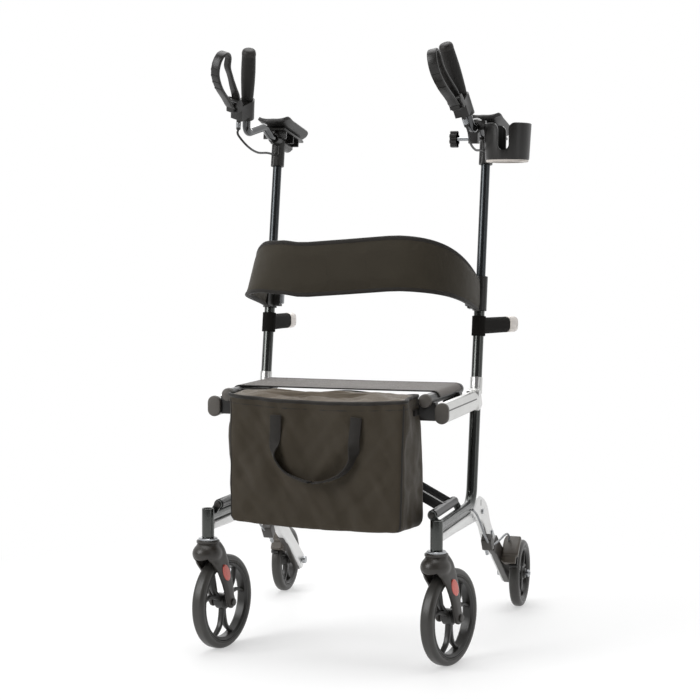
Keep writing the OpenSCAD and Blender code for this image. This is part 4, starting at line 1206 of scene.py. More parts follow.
@dataclass(frozen=True)
class Casters:
    """Front wheels on their swivelling forks. A fork's frame stands on the floor under its stem."""

    wheel: Wheel = Wheel(101.5, 29.0, 16.5, 4.06)
    trail: float = 55.0
    crown_at: Point = (0.0, -3.0, 215.0)
    crown_size: Point = (31.0, 34.5, 25.0)
    neck_r: float = 23.0
    neck_top: float = 239.0
    neck_long: float = 26.0
    leg_line: Points = ((14.0, -2.0, 228.0), (20.0, 9.0, 208.0), (20.6, 27.0, 180.0),
                        (20.6, 44.0, 140.0), (20.4, 55.0, 101.5))
    leg_wide: Sequence[float] = (52.0, 54.0, 43.0, 32.0, 27.0)
    leg_thick: float = 15.0
    foot_r: float = 14.0
    foot_out: float = 27.0
    slot_half: float = 17.6
    slot_gap: float = 7.5
    arch_at: Point = (0.0, -2.0, 174.0)
    arch_r: float = 42.0
    voxel: float = 1.4
    passes: int = 28
    last_passes: int = 3
    dust_ring: Points = ((14.0, 243.4), (23.0, 243.4), (24.6, 242.0), (24.6, 238.0), (22.8, 236.4),
                         (14.0, 236.4))
    race: Points = ((12.0, 243.2), (19.6, 243.2), (20.4, 244.2), (20.4, 247.0), (19.2, 248.2),
                    (12.0, 248.2))
    lens_wide: float = 19.0
    lens_long: float = 41.0
    lens_at: Point = (29.4, 26.0, 171.0)
    lens_lean: float = 27.0
    lens_turn: float = 13.0
    lens_sunk: float = 3.0
    lens_thick: float = 4.8
    lens_edge: float = 1.4

    def build(self) -> None:
        """Build and dress both casters."""
        fork = self.fork()
        for side in Side:
            tag, place = side.tag, DATUM.caster(side)
            body = f"caster_{tag}"
            fork.copy().dress(f"fork_{tag}", BROWN, body, place, [f"caster_fork_{tag}"], 50)
            carry(f"caster_hardware_{tag}", f"caster_steel_{tag}", BLACKED, body, 1.2, place)
            Workpiece().lathe(self.dust_ring, ring=True).dress(f"fork_collar_{tag}", BROWN, body, place)
            Workpiece().lathe(self.race, ring=True).dress(f"fork_seal_{tag}", ZINC, body, place)
            for face in (1, -1):
                name = f"reflector_{'outer' if face == side.value else 'inner'}_{tag}"
                self.reflector(face).dress(name, LENS, body, place)
            self.wheel.build("front", tag, place @ self.axle())

    def axle(self) -> Matrix:
        """Frame in the wheel's middle, with its third axis along the axle."""
        return shift((0, self.trail, self.wheel.radius)) @ ON_X

    def fork(self) -> Workpiece:
        """Mould the fork: a bulbous crown over the wheel and two legs that sweep back to the axle.

        Returns:
            The fork, in its own frame.
        """
        piece = Workpiece()
        crown = shift(self.crown_at) @ Matrix.Diagonal((*self.crown_size, 1))
        bmesh.ops.create_uvsphere(piece.bm, u_segments=40, v_segments=24, radius=1.0, matrix=crown)
        piece.drum(self.neck_r, self.neck_top - self.neck_long, self.neck_top)
        section = slab(self.leg_thick, self.leg_wide[-1], self.leg_thick / 2 - 2 * STRAIGHT, 5)
        scales = [w.x / self.leg_wide[-1] for w in spline([(w, 0, 0) for w in self.leg_wide], 6)]
        for face in (1, -1):
            line = spline([(face * x, y, z) for x, y, z in self.leg_line], 6)
            places = [spot @ Matrix.Diagonal((1, scale, 1, 1)) for spot, scale in zip(stations(line), scales)]
            piece.sweep(section, places)
            piece.drum(self.foot_r, face * self.slot_half, face * self.foot_out, self.axle())
        piece.rounded(self.voxel, self.passes)
        arch = shift(self.arch_at) @ ON_X
        for place, radius in ((self.axle(), self.wheel.radius + self.slot_gap), (arch, self.arch_r)):
            piece.carve(Workpiece().drum(radius, -self.slot_half, self.slot_half, place, 96))
        return piece.rounded(self.voxel, self.last_passes)

    def reflector(self, face: int) -> Workpiece:
        """Mould an oval lens on the rounded front of a leg's outer face.

        Args:
            face: Side of the fork, 1 or -1 along X.

        Returns:
            The lens.
        """
        lean, turn = radians(self.lens_lean), radians(self.lens_turn)
        down = Vector((0, sin(lean), -cos(lean)))
        ahead = Vector((0, -cos(lean), -sin(lean)))
        out = Vector((face * cos(turn), 0, 0)) + sin(turn) * ahead
        across = down.cross(out)
        x, y, z = self.lens_at
        centre = Vector((face * x, y, z)) - self.lens_sunk * out
        outline = [centre + across * (self.lens_wide / 2 * u) + down * (self.lens_long / 2 * v)
                   for u, v in disc(1.0, 36)]
        return Workpiece().plate(outline, self.lens_thick * out).bevel(self.lens_edge)


@dataclass(frozen=True)
class RearWheels:
    """Rear wheels with their brakes."""

    wheel: Wheel = Wheel(80.0, 25.0, 15.0, 5.06)
    out: float = 299.0
    hood_gap: float = 13.0
    hood_thick: float = 16.0
    roof: Point = (272.5, 311.0, 115.0, 147.0)
    roof_edge: float = 6.5
    lip: Point = (277.0, 306.0, 143.0, 157.0)
    lip_in: Point = (1.0, 3.0)
    lip_edge: float = 3.5
    cheek: Point = (270.0, 285.0, 118.0, 155.0)
    cheek_low: float = 68.0
    cheek_in: float = 4.0
    cheek_edge: float = 3.0
    voxel: float = 1.2
    passes: int = 6
    block_at: Point = (266.0, 95.0, 192.0)
    block_size: Point = (24.0, 24.0, 34.0)
    block_round: float = 4.0
    block_edge: float = 2.0
    barrel_in: float = 4.0
    nut: Points = ((0.0, 4.0), (5.6, 4.0), (5.6, -4.0), (3.6, -5.0))
    thread: Points = ((3.9, -6.0), (3.3, -7.2))
    thread_pitch: float = 2.4
    thread_turns: int = 6
    barrel_end: float = -21.0
    barrel_lean: float = 36.0
    cable_start: Point = (262.3, 0.0, 293.0)
    cable_way: Points = ((2.5, -62, -2), (4, -26, -18), (6, 10, -46), (8, 52, -82), (9, 110, -110),
                         (13, 172, -112), (21, 222, -103))
    cable_in: float = 14.0
    cable_at: float = 125.0
    cable_dip: float = 16.0
    cable_r: float = 2.5
    cable_gap: float = 0.3

    def build(self) -> None:
        """Build and dress both rear wheels."""
        for side in Side:
            tag, place = side.tag, DATUM.walker(side)
            body = f"frame_{tag}"
            hub = shift((self.out, DATUM.axle_back, self.wheel.radius)) @ ON_X
            self.wheel.build("rear", tag, place @ hub)
            self.hood().dress(f"brake_hood_{tag}", UMBER, body, place, [f"brake_housing_{tag}"])
            self.block().dress(f"cable_block_{tag}", BROWN, body, place)
            self.barrel().dress(f"cable_barrel_{tag}", ZINC, body, place)
            carry(f"brake_shoe_{tag}", f"brake_block_{tag}", NYLON, f"brake_{tag}", 1.0)
            self.cable(side)

    def bow(self, radius: float, start: float, end: float, steps: int = 14) -> Outline:
        """Points of an arc about the rear axle, as distance back and height."""
        points = arc(radius, radians(start), radians(end), steps)
        return [(DATUM.axle_back + y, self.wheel.radius + z) for y, z in points]

    def shell(self, part: Point, inner: float, outer: float, edge: float) -> Workpiece:
        """Build a curved block round the wheel.

        Args:
            part: Its inner and outer side and its first and last angle.
            inner: Radius of its under side.
            outer: Radius of its top.
            edge: Rounding of its edges.

        Returns:
            The block.
        """
        x0, x1, start, end = part
        outline = self.bow(outer, start, end) + self.bow(inner, end, start)
        return Workpiece().plate([(x0, y, z) for y, z in outline], (x1 - x0, 0, 0)).bevel(edge)

    def hood(self) -> Workpiece:
        """Build the brake's hood: roof over the tyre, a lip down its front and a cheek towards the leg.

        Returns:
            The hood.
        """
        inner = self.wheel.radius + self.hood_gap
        outer = inner + self.hood_thick
        piece = self.shell(self.roof, inner, outer, self.roof_edge)
        piece.join(self.shell(self.lip, inner + self.lip_in[0], outer - self.lip_in[1], self.lip_edge))
        piece.join(self.shell(self.cheek, self.cheek_low, outer - self.cheek_in, self.cheek_edge))
        return piece.rounded(self.voxel, self.passes)

    def block(self) -> Workpiece:
        """Mould the block that leads the cable past the leg."""
        x, y, z = self.block_size
        outline = [(-x / 2, a, b) for a, b in slab(y, z, self.block_round, 4)]
        return Workpiece().plate(outline, (x, 0, 0)).bevel(self.block_edge).turn(self.block_place())

    def block_place(self) -> Matrix:
        """Frame of the cable block, with its third axis up along the leg."""
        return shift(self.block_at) @ Matrix.Rotation(radians(self.barrel_lean), 4, "X")

    def barrel(self) -> Workpiece:
        """Turn the threaded barrel and lock nut that leave the block downwards."""
        profile = list(self.nut) + threaded(self.thread, -self.thread_pitch, self.thread_turns)
        spot = shift((-self.barrel_in, -self.barrel_in, -self.block_size[2] / 2))
        return Workpiece().lathe(profile + [(0.0, self.barrel_end)], self.block_place() @ spot, steps=24)

    def cable(self, side: Side) -> None:
        """Lay the brake cable from the lower beam to the hood.

        Args:
            side: Side of the walker.
        """
        place = DATUM.walker(side)
        start = Vector(self.cable_start)
        points = [start + Vector(p) for p in self.cable_way]
        rest = self.wheel.radius + self.hood_gap + self.hood_thick + self.cable_gap
        for height in (self.cable_dip, 0.0):
            y, z = self.bow(rest + height, self.cable_at, self.cable_at, 1)[0]
            points.append(Vector((self.out - self.cable_in, y, z)))
        line = spline(points, 4)
        piece = Workpiece().tube(line, self.cable_r, 14).chart(lambda p: (p.y, p.x))
        name, body, node = (f"{part}_{side.tag}" for part in ("brake_wire", "frame", "brake_cable"))
        cable = piece.dress(name, LINER, body, place, [node])


@dataclass(frozen=True)
class SideFrames:
    """Welded side frames with their cast legs, seat rails, clamps and assist handles."""

    leg_half: float = 10.0
    leg_edge: float = 5.0
    hub: Point = (62.0, 268.0)
    leg_out: float = 15.0
    foot_r: float = 23.0
    foot_z: float = 80.0
    heel_open: float = 0.45
    boot_over: float = 1.6
    boot_bare: float = 5.5
    boot_edge: float = 3.0
    boot_top: Points = ((138.0, -21.6), (174.0, -27.6), (182.0, -6.0), (172.0, 14.6), (138.0, 15.0))
    shoulder: Points = ((-323.9, 280.9), (-60.0, 280.9), (-28.0, 283.0), (-6.0, 293.0),
                        (12.0, 303.0), (32.0, 306.0), (54.0, 304.0), (78.0, 297.0), (100.0, 285.0),
                        (117.0, 268.0), (129.0, 248.0), (144.0, 229.0), (168.0, 207.0),
                        (204.0, 181.0))
    hollow: Points = ((206.0, 139.0), (160.0, 164.0), (134.0, 181.0), (116.0, 199.0), (101.0, 217.0),
                      (84.0, 233.0), (64.0, 243.5), (40.0, 249.5), (10.0, 253.0), (-24.0, 255.0),
                      (-164.0, 260.0), (-323.9, 264.0))
    inlays: Points = ((48.0, 290.0, 5.0, 15.0), (-40.0, 272.0, 6.0, 6.0), (-14.0, 264.0, 6.0, 6.0))
    inlay_thick: float = 0.7
    inlay_proud: float = 0.3
    rod_in: float = 243.0
    rod_up: float = 300.0
    steel_edge: float = 0.9
    cap_front: float = -303.0
    cap_long: float = 12.6
    cap_wide: float = 29.0
    cap_tall: float = 44.0
    cap_edge: float = 2.6
    rail_front: float = -290.0
    rail_back: float = -24.0
    rail_z: float = 526.0
    rail_half: float = 14.0
    groove_low: float = 4.5
    groove_top: float = 7.5
    groove_in: float = 0.6
    groove_thick: float = 0.8
    assist_rise: float = 402.0
    assist_long: float = 262.0
    assist_wide: float = 24.0
    assist_tall: float = 37.0
    assist_yaw: float = 6.7
    assist_pitch: float = 1.5
    tail_long: float = 63.0
    tail_in: float = 6.0
    tail_over: float = 0.8
    tail_edge: float = 3.0

    def build(self) -> None:
        """Build and dress both side frames."""
        for side in Side:
            tag, place = side.tag, DATUM.walker(side)
            body = f"frame_{tag}"
            for node, name, finish, edge in (("frame_tube", "side_frame", TUBE, 0.8),
                                             ("seat_rail", "rail", DRAWN, 0.8),
                                             ("rail_fittings", "rail_plastics", NYLON, 1.4),
                                             ("strap_clamp", "clamp", NYLON, 1.8)):
                carry(f"{node}_{tag}", f"{name}_{tag}", finish, body, edge, place)
            self.hardware(side)
            self.rail_cap().dress(f"rail_cap_{tag}", CAPPED, body, place)
            self.leg().dress(f"leg_{tag}", CAST, body, place, [f"rear_leg_{tag}"])
            self.boot().dress(f"leg_boot_{tag}", BROWN, body, place)
            self.leg_plastics().dress(f"leg_plastics_{tag}", NYLON, body, place)
            carry(f"height_button_{tag}", f"button_{tag}", GREY, f"button_{tag}", 2.5, place)
            self.groove().dress(f"rail_groove_{tag}", NYLON, body, place)
            carry(f"assist_handle_{tag}", f"assist_bar_{tag}", SPONGE, body, 2.5, place)
            self.assist_tail().dress(f"assist_tail_{tag}", MILKY, body, place)

    def flare(self, point: Vector) -> Vector:
        """Lead a point of the casting outwards, behind the hub."""
        slope = self.leg_out / (DATUM.axle_back - self.hub[0])
        return Vector((point.x + slope * max(point.y - self.hub[0], 0.0), point.y, point.z))

    def hardware(self, side: Side) -> None:
        """Dress the steel fittings: bright axles and bolts, and a blackened hinge rod.

        Args:
            side: Side of the walker.
        """
        tag, place = side.tag, DATUM.walker(side)
        body, node = f"frame_{tag}", f"frame_hardware_{tag}"
        bright = Workpiece.from_node(node, place).sift(lambda p: p.x > self.rod_in or p.z < self.rod_up)
        bright.bevel(self.steel_edge).dress(f"frame_steel_{tag}", ZINC, body, place, [node])
        rod = Workpiece.from_node(node, place).sift(lambda p: p.x <= self.rod_in and p.z >= self.rod_up)
        rod.bevel(self.steel_edge).dress(f"hinge_rod_{tag}", BLACKED, body, place)

    def cast(self, outline: Sequence[Vector], inner: float, outer: float, edge: float) -> Workpiece:
        """Extrude an outline across the casting, round it, and lead it outwards behind the hub.

        Args:
            outline: Distance back and height of its points.
            inner: Thickness towards the walker's middle.
            outer: Thickness outwards.
            edge: Rounding of its edges.

        Returns:
            The piece.
        """
        x0 = DATUM.post_foot[0] - inner
        piece = Workpiece().plate([(x0, p.x, p.y) for p in outline], (inner + outer, 0, 0)).bevel(edge, 4, 40)
        bmesh.ops.bisect_plane(piece.bm, geom=piece.whole(), plane_co=(0, self.hub[0], 0), plane_no=(0, 1, 0))
        for vert in piece.bm.verts:
            vert.co = self.flare(vert.co)
        return piece

    def shin(self) -> tuple[Vector, Vector]:
        """Middle of the foot, and the way that the leg runs down to it."""
        foot = Vector((DATUM.axle_back, self.foot_z))
        return foot, (foot - Vector(self.hub)).normalized()

    def heel(self, extra: float) -> list[Vector]:
        """Points round the foot, from the leg's upper edge to its lower one.

        Args:
            extra: Distance outside the casting.

        Returns:
            Distance back and height of each.
        """
        foot, along = self.shin()
        start = atan2(along.x, -along.y)
        turns = arc(self.foot_r + extra, start - self.heel_open, start + self.heel_open - pi, 14)
        return [foot + Vector(p) for p in turns]

    def leg(self) -> Workpiece:
        """Cast the rear leg: keel under the beam, full shoulder behind the post, bent leg and foot.

        Returns:
            The casting.
        """
        upper, lower = ([p.xy for p in spline([(y, z, 0) for y, z in line], 4)]
                        for line in (self.shoulder[1:], self.hollow[:-1]))
        outline = [Vector(self.shoulder[0])] + upper + self.heel(0.0) + lower + [Vector(self.hollow[-1])]
        return self.cast(outline, self.leg_half, self.leg_half, self.leg_edge)

    def boot(self) -> Workpiece:
        """Mould the dark cover over the front and outer face of the leg's lower end.

        Returns:
            The cover.
        """
        foot, along = self.shin()
        across = Vector((-along.y, along.x))
        outline = [foot - back * along + wide * across for back, wide in self.boot_top]
        outline += self.heel(self.boot_over)
        inner, outer = self.leg_half - self.boot_bare, self.leg_half + self.boot_over
        return self.cast(outline, inner, outer, self.boot_edge)

    def leg_plastics(self) -> Workpiece:
        """Make the dark inlays of the casting: a slit in the shoulder and bolts along the keel.

        Returns:
            The inlays.
        """
        middle = DATUM.post_foot[0]
        outer = middle + self.leg_half + self.inlay_proud - self.inlay_thick
        inner = middle - self.leg_half - self.inlay_proud
        piece = Workpiece()
        for y, z, wide, tall in self.inlays:
            outline = slab(wide, tall, min(wide, tall) / 2 - STRAIGHT, 4)
            for x in (outer, inner):
                piece.plate([(x, y + a, z + b) for a, b in outline], (self.inlay_thick, 0, 0))
        return piece.bevel(self.inlay_proud, 1, 60)

    def rail_cap(self) -> Workpiece:
        """Mould the long round cap that closes the rail's front end."""
        section = slab(self.cap_wide, self.cap_tall, self.cap_wide / 2 - 2 * STRAIGHT, 8)
        outline = [(DATUM.post_foot[0] + u, self.cap_front, self.rail_z + v) for u, v in section]
        return Workpiece().plate(outline, (0, self.cap_long, 0)).bevel(self.cap_edge, 3, 60)

    def groove(self) -> Workpiece:
        """Lay the dark slot along the rail's outer face.

        Returns:
            The slot.
        """
        x = DATUM.post_foot[0] + self.rail_half - self.groove_in
        low, top = self.rail_z + self.groove_low, self.rail_z + self.groove_top
        front, back = self.rail_front, self.rail_back
        outline = [(x, front, low), (x, front, top), (x, back, top), (x, back, low)]
        return Workpiece().plate(outline, (self.groove_thick, 0, 0))

    def assist_tail(self) -> Workpiece:
        """Mould the pale end of the stand assist handle, a flat round sleeve.

        Returns:
            The sleeve.
        """
        rise = self.assist_rise * Vector((0, sin(DATUM.lean), cos(DATUM.lean)))
        aim = (shift(Vector(DATUM.post_foot) + rise)
               @ Matrix.Rotation(-radians(self.assist_yaw), 4, "Z")
               @ Matrix.Rotation(-radians(self.assist_pitch), 4, "X"))
        wide, tall = self.assist_wide + self.tail_over, self.assist_tall + self.tail_over
        start = self.assist_long - self.tail_in - self.tail_long
        outline = [(u, start, v) for u, v in slab(wide, tall, self.assist_wide / 2, 8)]
        return Workpiece().plate(outline, (0, self.tail_long, 0)).bevel(self.tail_edge, 3, 60).turn(aim)


@dataclass(frozen=True)
class ArmRests:
    """Inner posts, arm brackets and forearm pads."""

    pad_front: float = -57.0
    pad_long: float = 172.0
    pad_r: float = 50.0
    pad_thick: float = 9.0
    pad_rise: float = 22.0
    pad_seat: float = 35.1
    corner: float = 20.0
    lip: float = 46.0
    lip_rise: float = 15.0
    lip_spread: float = 0.08
    lip_fall: float = 0.75
    lip_power: float = 1.5
    corner_share: float = 0.8
    fill: float = 0.9

    def build(self) -> None:
        """Build and dress both arm rests."""
        for side in Side:
            tag, place = side.tag, DATUM.arm(side)
            body = f"arm_{tag}"
            carry(f"inner_post_{tag}", f"upper_post_{tag}", DARK_TUBE, body, 0.6, place)
            carry(f"arm_bracket_{tag}", f"bracket_{tag}", NYLON, body, 1.2, place)
            pad = self.pad().dress(f"forearm_pad_{tag}", FOAM, body, place, [f"arm_pad_{tag}"], 80)

    def pad(self) -> Workpiece:
        """Mould the forearm trough, with round corners and a front lip that flattens and curls up.

        Returns:
            The pad, in the arm's frame.
        """
        piece = Workpiece()
        bmesh.ops.create_grid(piece.bm, x_segments=18, y_segments=30, size=0.5)
        middle = self.pad_r - self.pad_thick / 2
        widest = acos((self.pad_r - self.pad_rise) / self.pad_r)
        half = self.pad_long / 2
        for vert in piece.bm.verts:
            u, v = 2 * vert.co.x, vert.co.y * self.pad_long
            depth = max(abs(v) - (half - self.corner), 0.0)
            cut = self.corner - sqrt(max(self.corner ** 2 - depth ** 2, 0.0))
            turn = u * (widest - self.corner_share * cut / middle)
            front = max((self.lip - half - v) / self.lip, 0.0)
            curl = self.lip_rise * front ** 2 * (1 - self.lip_fall * abs(u) ** self.lip_power)
            vert.co = (middle * sin(turn) * (1 + self.lip_spread * front ** 2),
                       self.pad_front + half + v * (1 - self.pad_thick / 2 / half),
                       self.pad_seat + self.pad_r - middle * cos(turn) + curl)
        return piece.thicken(self.pad_thick, 2)


@dataclass(frozen=True)
class HandleSet:
    """Bent handle tubes with grips, lever housings, brake levers and their cables."""

    tube_r: float = 9.0
    shaft_z: float = 13.0
    shaft_rear: float = 58.0
    neck: Points = ((0.0, -62.0, 13.0), (2.0, -99.0, 25.0))
    bend: float = 30.0
    stem: float = 84.0
    grip_long: float = 120.0
    grip_gap: float = 0.1
    grip_radii: Points = ((12.2, 0.0), (13.0, 1.0), (14.0, 14.0), (15.4, 42.0), (16.0, 66.0),
                          (15.7, 88.0), (15.2, 106.0))
    tube_short: float = 6.0
    crown_lap: float = 0.5
    crown_skirt: Points = ((0.4, 0.0), (0.5, 4.0))
    crown_dome: Points = ((0.0, 7.0), (1.4, 3.6), (4.0, 1.4), (8.0, 0.4))
    adjuster_foot: Points = ((2.6, 0.0), (3.6, 0.0), (4.2, 6.0))
    knurl: Points = ((5.4, 7.0), (5.6, 8.2), (5.0, 8.8))
    knurl_pitch: float = 2.4
    knurl_turns: int = 5
    adjuster_top: Points = ((4.4, 20.0), (2.6, 20.0))
    lever_wide: float = 21.0
    lever_band: float = 7.0
    lever_round: float = 2.6
    lever_pivot: Point = (-50.0, 10.0)
    lever_loop: Points = ((-60, 2), (-81, 30), (-105, 63), (-119, 97), (-116, 122), (-102, 138),
                          (-84, 137), (-75, 124), (-77, 104), (-67, 80), (-55, 50), (-44, 24), (-44, 6))
    lever_turns: int = 6
    slim_from: Point = (-90.0, 30.0)
    slim_over: Point = (20.0, 40.0)
    slim_by: Point = (0.3, 0.15)
    ridges: Sequence[int] = (12, 15, 18, 21, 24)
    ridge_in: float = 2.0
    ridge_tall: float = 1.8
    ridge_round: float = 0.8
    ridge_half: float = 2.2
    boss_r: float = 8.0
    boss_in: float = 0.4
    knuckle_size: Point = (17.0, 24.0)
    knuckle_at: Point = (-6.0, -8.0)
    knuckle_round: float = 4.0
    knuckle_in: float = 1.5
    cable_foot: Point = (0.0, -30.0, -62.3)
    cable_drop: float = 14.0
    cable_way: Points = ((6, -190, -40), (4, -130, -41), (2, -68, -29))
    cable_end: Point = (0.0, -18.5, -23.5)
    cable_r: float = 2.5

    def build(self) -> None:
        """Build and dress both handles."""
        for side in Side:
            tag, arm, grip, lever = side.tag, DATUM.arm(side), DATUM.grip(side), DATUM.lever(side)
            body = f"handle_{tag}"
            self.tube(side).dress(f"swan_neck_{tag}", POLISHED, body, arm, [f"handle_tube_{tag}"])
            self.sleeve().dress(f"grip_sleeve_{tag}", RUBBER, body, grip, [f"hand_grip_{tag}"])
            self.crown().dress(f"grip_crown_{tag}", CAP, body, grip)
            carry(f"lever_housing_{tag}", f"housing_{tag}", NYLON, body, 1.8, lever)
            self.adjuster().dress(f"adjuster_{tag}", ZINC, body, lever)
            self.loop().dress(f"lever_band_{tag}", NYLON, f"lever_{tag}", lever, [f"brake_lever_{tag}"])
            self.cable(side)

    def tube(self, side: Side) -> Workpiece:
        """Bend the handle tube from the arm bracket to the grip.

        Args:
            side: Side of the walker.

        Returns:
            The tube, in the arm's frame.
        """
        up = (DATUM.arm(side).inverted() @ DATUM.grip(side)).col[2].xyz.normalized()
        foot = Vector(DATUM.grip_foot)
        corners = [(0, self.shaft_rear, self.shaft_z)] + list(self.neck)
        corners += [foot - self.stem * up, foot + (self.grip_long - self.tube_short) * up]
        return Workpiece().tube(bent(corners, self.bend, 14), self.tube_r, 28)

    def sleeve(self) -> Workpiece:
        """Turn the tapered rubber grip."""
        bore, top = self.tube_r + self.grip_gap, self.grip_radii[-1][1]
        return Workpiece().lathe([(bore, 0.0), *self.grip_radii, (bore, top)], ring=True, steps=48)

    def crown(self) -> Workpiece:
        """Turn the grip's end cap, with a flat dome and a rounded rim.

        Returns:
            The cap.
        """
        r, start, top = self.grip_radii[-1][0], self.grip_radii[-1][1] - self.crown_lap, self.grip_long
        skirt = [(r + out, start + up) for out, up in self.crown_skirt]
        dome = [(r - back, top - down) for back, down in self.crown_dome]
        return Workpiece().lathe([(0.0, start)] + skirt + dome + [(0.0, top)], steps=48)

    def adjuster(self) -> Workpiece:
        """Turn the knurled barrel adjuster at the cable's start."""
        knurls = threaded(self.knurl, self.knurl_pitch, self.knurl_turns)
        profile = [*self.adjuster_foot, *knurls, *self.adjuster_top]
        return Workpiece().lathe(profile, shift(self.cable_foot), True, 24)

    def loop(self) -> Workpiece:
        """Bend the brake lever's closed band, with finger ridges up its front and a knuckle on its pivot.

        Returns:
            The lever, in its own frame.
        """
        line = spline([(0, y, z) for y, z in self.lever_loop], self.lever_turns, True)
        places = stations(line, True)
        slim = []
        for spot in places:
            at = (spot.translation.y, spot.translation.z)
            rear = prod(clamp((a - b) / c) for a, b, c in zip(at, self.slim_from, self.slim_over))
            slim.append(spot @ Matrix.Diagonal((*(1 - by * rear for by in self.slim_by), 1, 1)))
        piece = Workpiece().sweep(slab(self.lever_wide, self.lever_band, self.lever_round, 3), slim, True)
        ridge = slab(self.lever_wide - self.ridge_in, self.ridge_tall, self.ridge_round, 3)
        for k in self.ridges:
            out = places[k] @ shift((0, self.outward(places[k]) * self.lever_band / 2, 0))
            piece.sweep(ridge, [out @ shift((0, 0, end * self.ridge_half)) for end in (-1, 1)])
        y, z = self.lever_pivot
        side = self.boss_in - self.lever_wide / 2
        piece.plate([(side, y + a, z + b) for a, b in disc(self.boss_r, 24)], (-2 * side, 0, 0))
        y, z = y + self.knuckle_at[0], z + self.knuckle_at[1]
        side = self.knuckle_in - self.lever_wide / 2
        knuckle = slab(*self.knuckle_size, self.knuckle_round, 4)
        return piece.plate([(side, y + a, z + b) for a, b in knuckle], (-2 * side, 0, 0))

    def outward(self, spot: Matrix) -> float:
        """Side of the band, 1 or -1 on its second axis, that faces away from the grip."""
        return 1.0 if spot.col[1].y < 0 else -1.0

    def cable(self, side: Side) -> None:
        """Hang the brake cable from the lever back to the arm's socket.

        Args:
            side: Side of the walker.
        """
        tag, arm = side.tag, DATUM.arm(side)
        to_arm = arm.inverted() @ DATUM.lever(side)
        foot = Vector(self.cable_foot)
        points = [to_arm @ foot, to_arm @ (foot - Vector((0, 0, self.cable_drop)))]
        line = spline(points + [Vector(p) for p in self.cable_way] + [Vector(self.cable_end)], 6)
        piece = Workpiece().tube(line, self.cable_r, 14).chart(lambda p: (p.y, p.x))
        cable = piece.dress(f"lever_wire_{tag}", SHEATH, None, arm, [f"lever_cable_{tag}"])
        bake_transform(cable)


@dataclass(frozen=True)
class CupHolder:
    """Cup holder clamped on the left handle, with its screw."""

    centre: Point = (327.0, -25.0, 1055.7)
    tall: float = 80.0
    inner: float = 44.0
    foot_r: float = 47.5
    top_r: float = 52.0
    floor: float = 4.0
    rim_in: Point = (1.0, 1.2)
    rim_edge: float = 1.4
    foot_edge: Points = ((0.4, 5.0), (-0.6, 1.4), (-2.4, 0.0))
    edge: float = 1.3
    slot: float = 24.0
    slot_low: float = 0.41
    shoulder: float = 15.0
    knife_over: float = 20.0
    knife_half: float = 80.0
    ring_in: float = 2.0
    ring_edge: Points = ((-9.0, -3.4), (-1.2, -3.4), (0.4, -2.2), (1.0, 2.0), (-9.0, 2.0))
    arm_cut: float = 279.0
    clamp_edge: float = 1.4
    knob_thick: float = 15.0
    screw_lap: float = 0.5
    screw_edge: float = 0.6

    def build(self) -> None:
        """Build and dress the cup holder."""
        place = DATUM.walker()
        self.cup().dress("cup", NYLON, "handle_left", place, ["cup_holder"])
        bracket = Workpiece.from_node("cup_holder", place).slice((self.arm_cut, 0, 0), (1, 0, 0))
        bracket.bevel(self.clamp_edge).dress("cup_clamp", NYLON, "handle_left", place)
        self.ring().dress("cup_foot", MILKY, "handle_left", place)
        knob = Workpiece.from_node("cup_knob", place)
        face = min(v.co.x for v in knob.bm.verts) + self.knob_thick
        screw = knob.copy().slice((face - self.screw_lap, 0, 0), (-1, 0, 0))
        knob.slice((face, 0, 0), (1, 0, 0)).bevel(self.clamp_edge)
        knob.dress("knob", NYLON, "knob", place, ["cup_knob"])
        screw.bevel(self.screw_edge).dress("knob_screw", ZINC, "knob", place)

    def cup(self) -> Workpiece:
        """Mould the cup with a slot in front and behind, round-shouldered at the rim.

        Returns:
            The cup.
        """
        spot, top = shift(self.centre), self.tall
        inside = [(0.0, self.floor), (self.inner, self.floor), (self.inner, top - self.rim_in[1])]
        rim = [(self.inner + self.rim_in[0], top), (self.top_r - self.rim_edge, top),
               (self.top_r, top - self.rim_edge)]
        foot = [(self.foot_r + out, up) for out, up in self.foot_edge]
        piece = Workpiece().lathe(inside + rim + foot + [(0.0, 0.0)], spot, steps=96)
        half, low = self.slot / 2, self.slot_low * top
        bottom = [(x, low + z) for x, z in arc(half, 0.0, -pi, 14)]
        edge = [(half + self.shoulder - x, top - self.shoulder + z)
                for x, z in arc(self.shoulder, 0.0, pi / 2, 8)]
        edge.append((half + self.shoulder, top + self.knife_over))
        outline = bottom + [(-x, z) for x, z in edge] + list(reversed(edge))
        knife = Workpiece().plate([(x, -self.knife_half, z) for x, z in outline], (0, 2 * self.knife_half, 0))
        return piece.carve(knife.turn(spot)).bevel(self.edge, 3, 40)

    def ring(self) -> Workpiece:
        """Turn the paler ring under the cup."""
        profile = [(self.foot_r - self.ring_in + out, up) for out, up in self.ring_edge]
        return Workpiece().lathe(profile, shift(self.centre), True, 96)


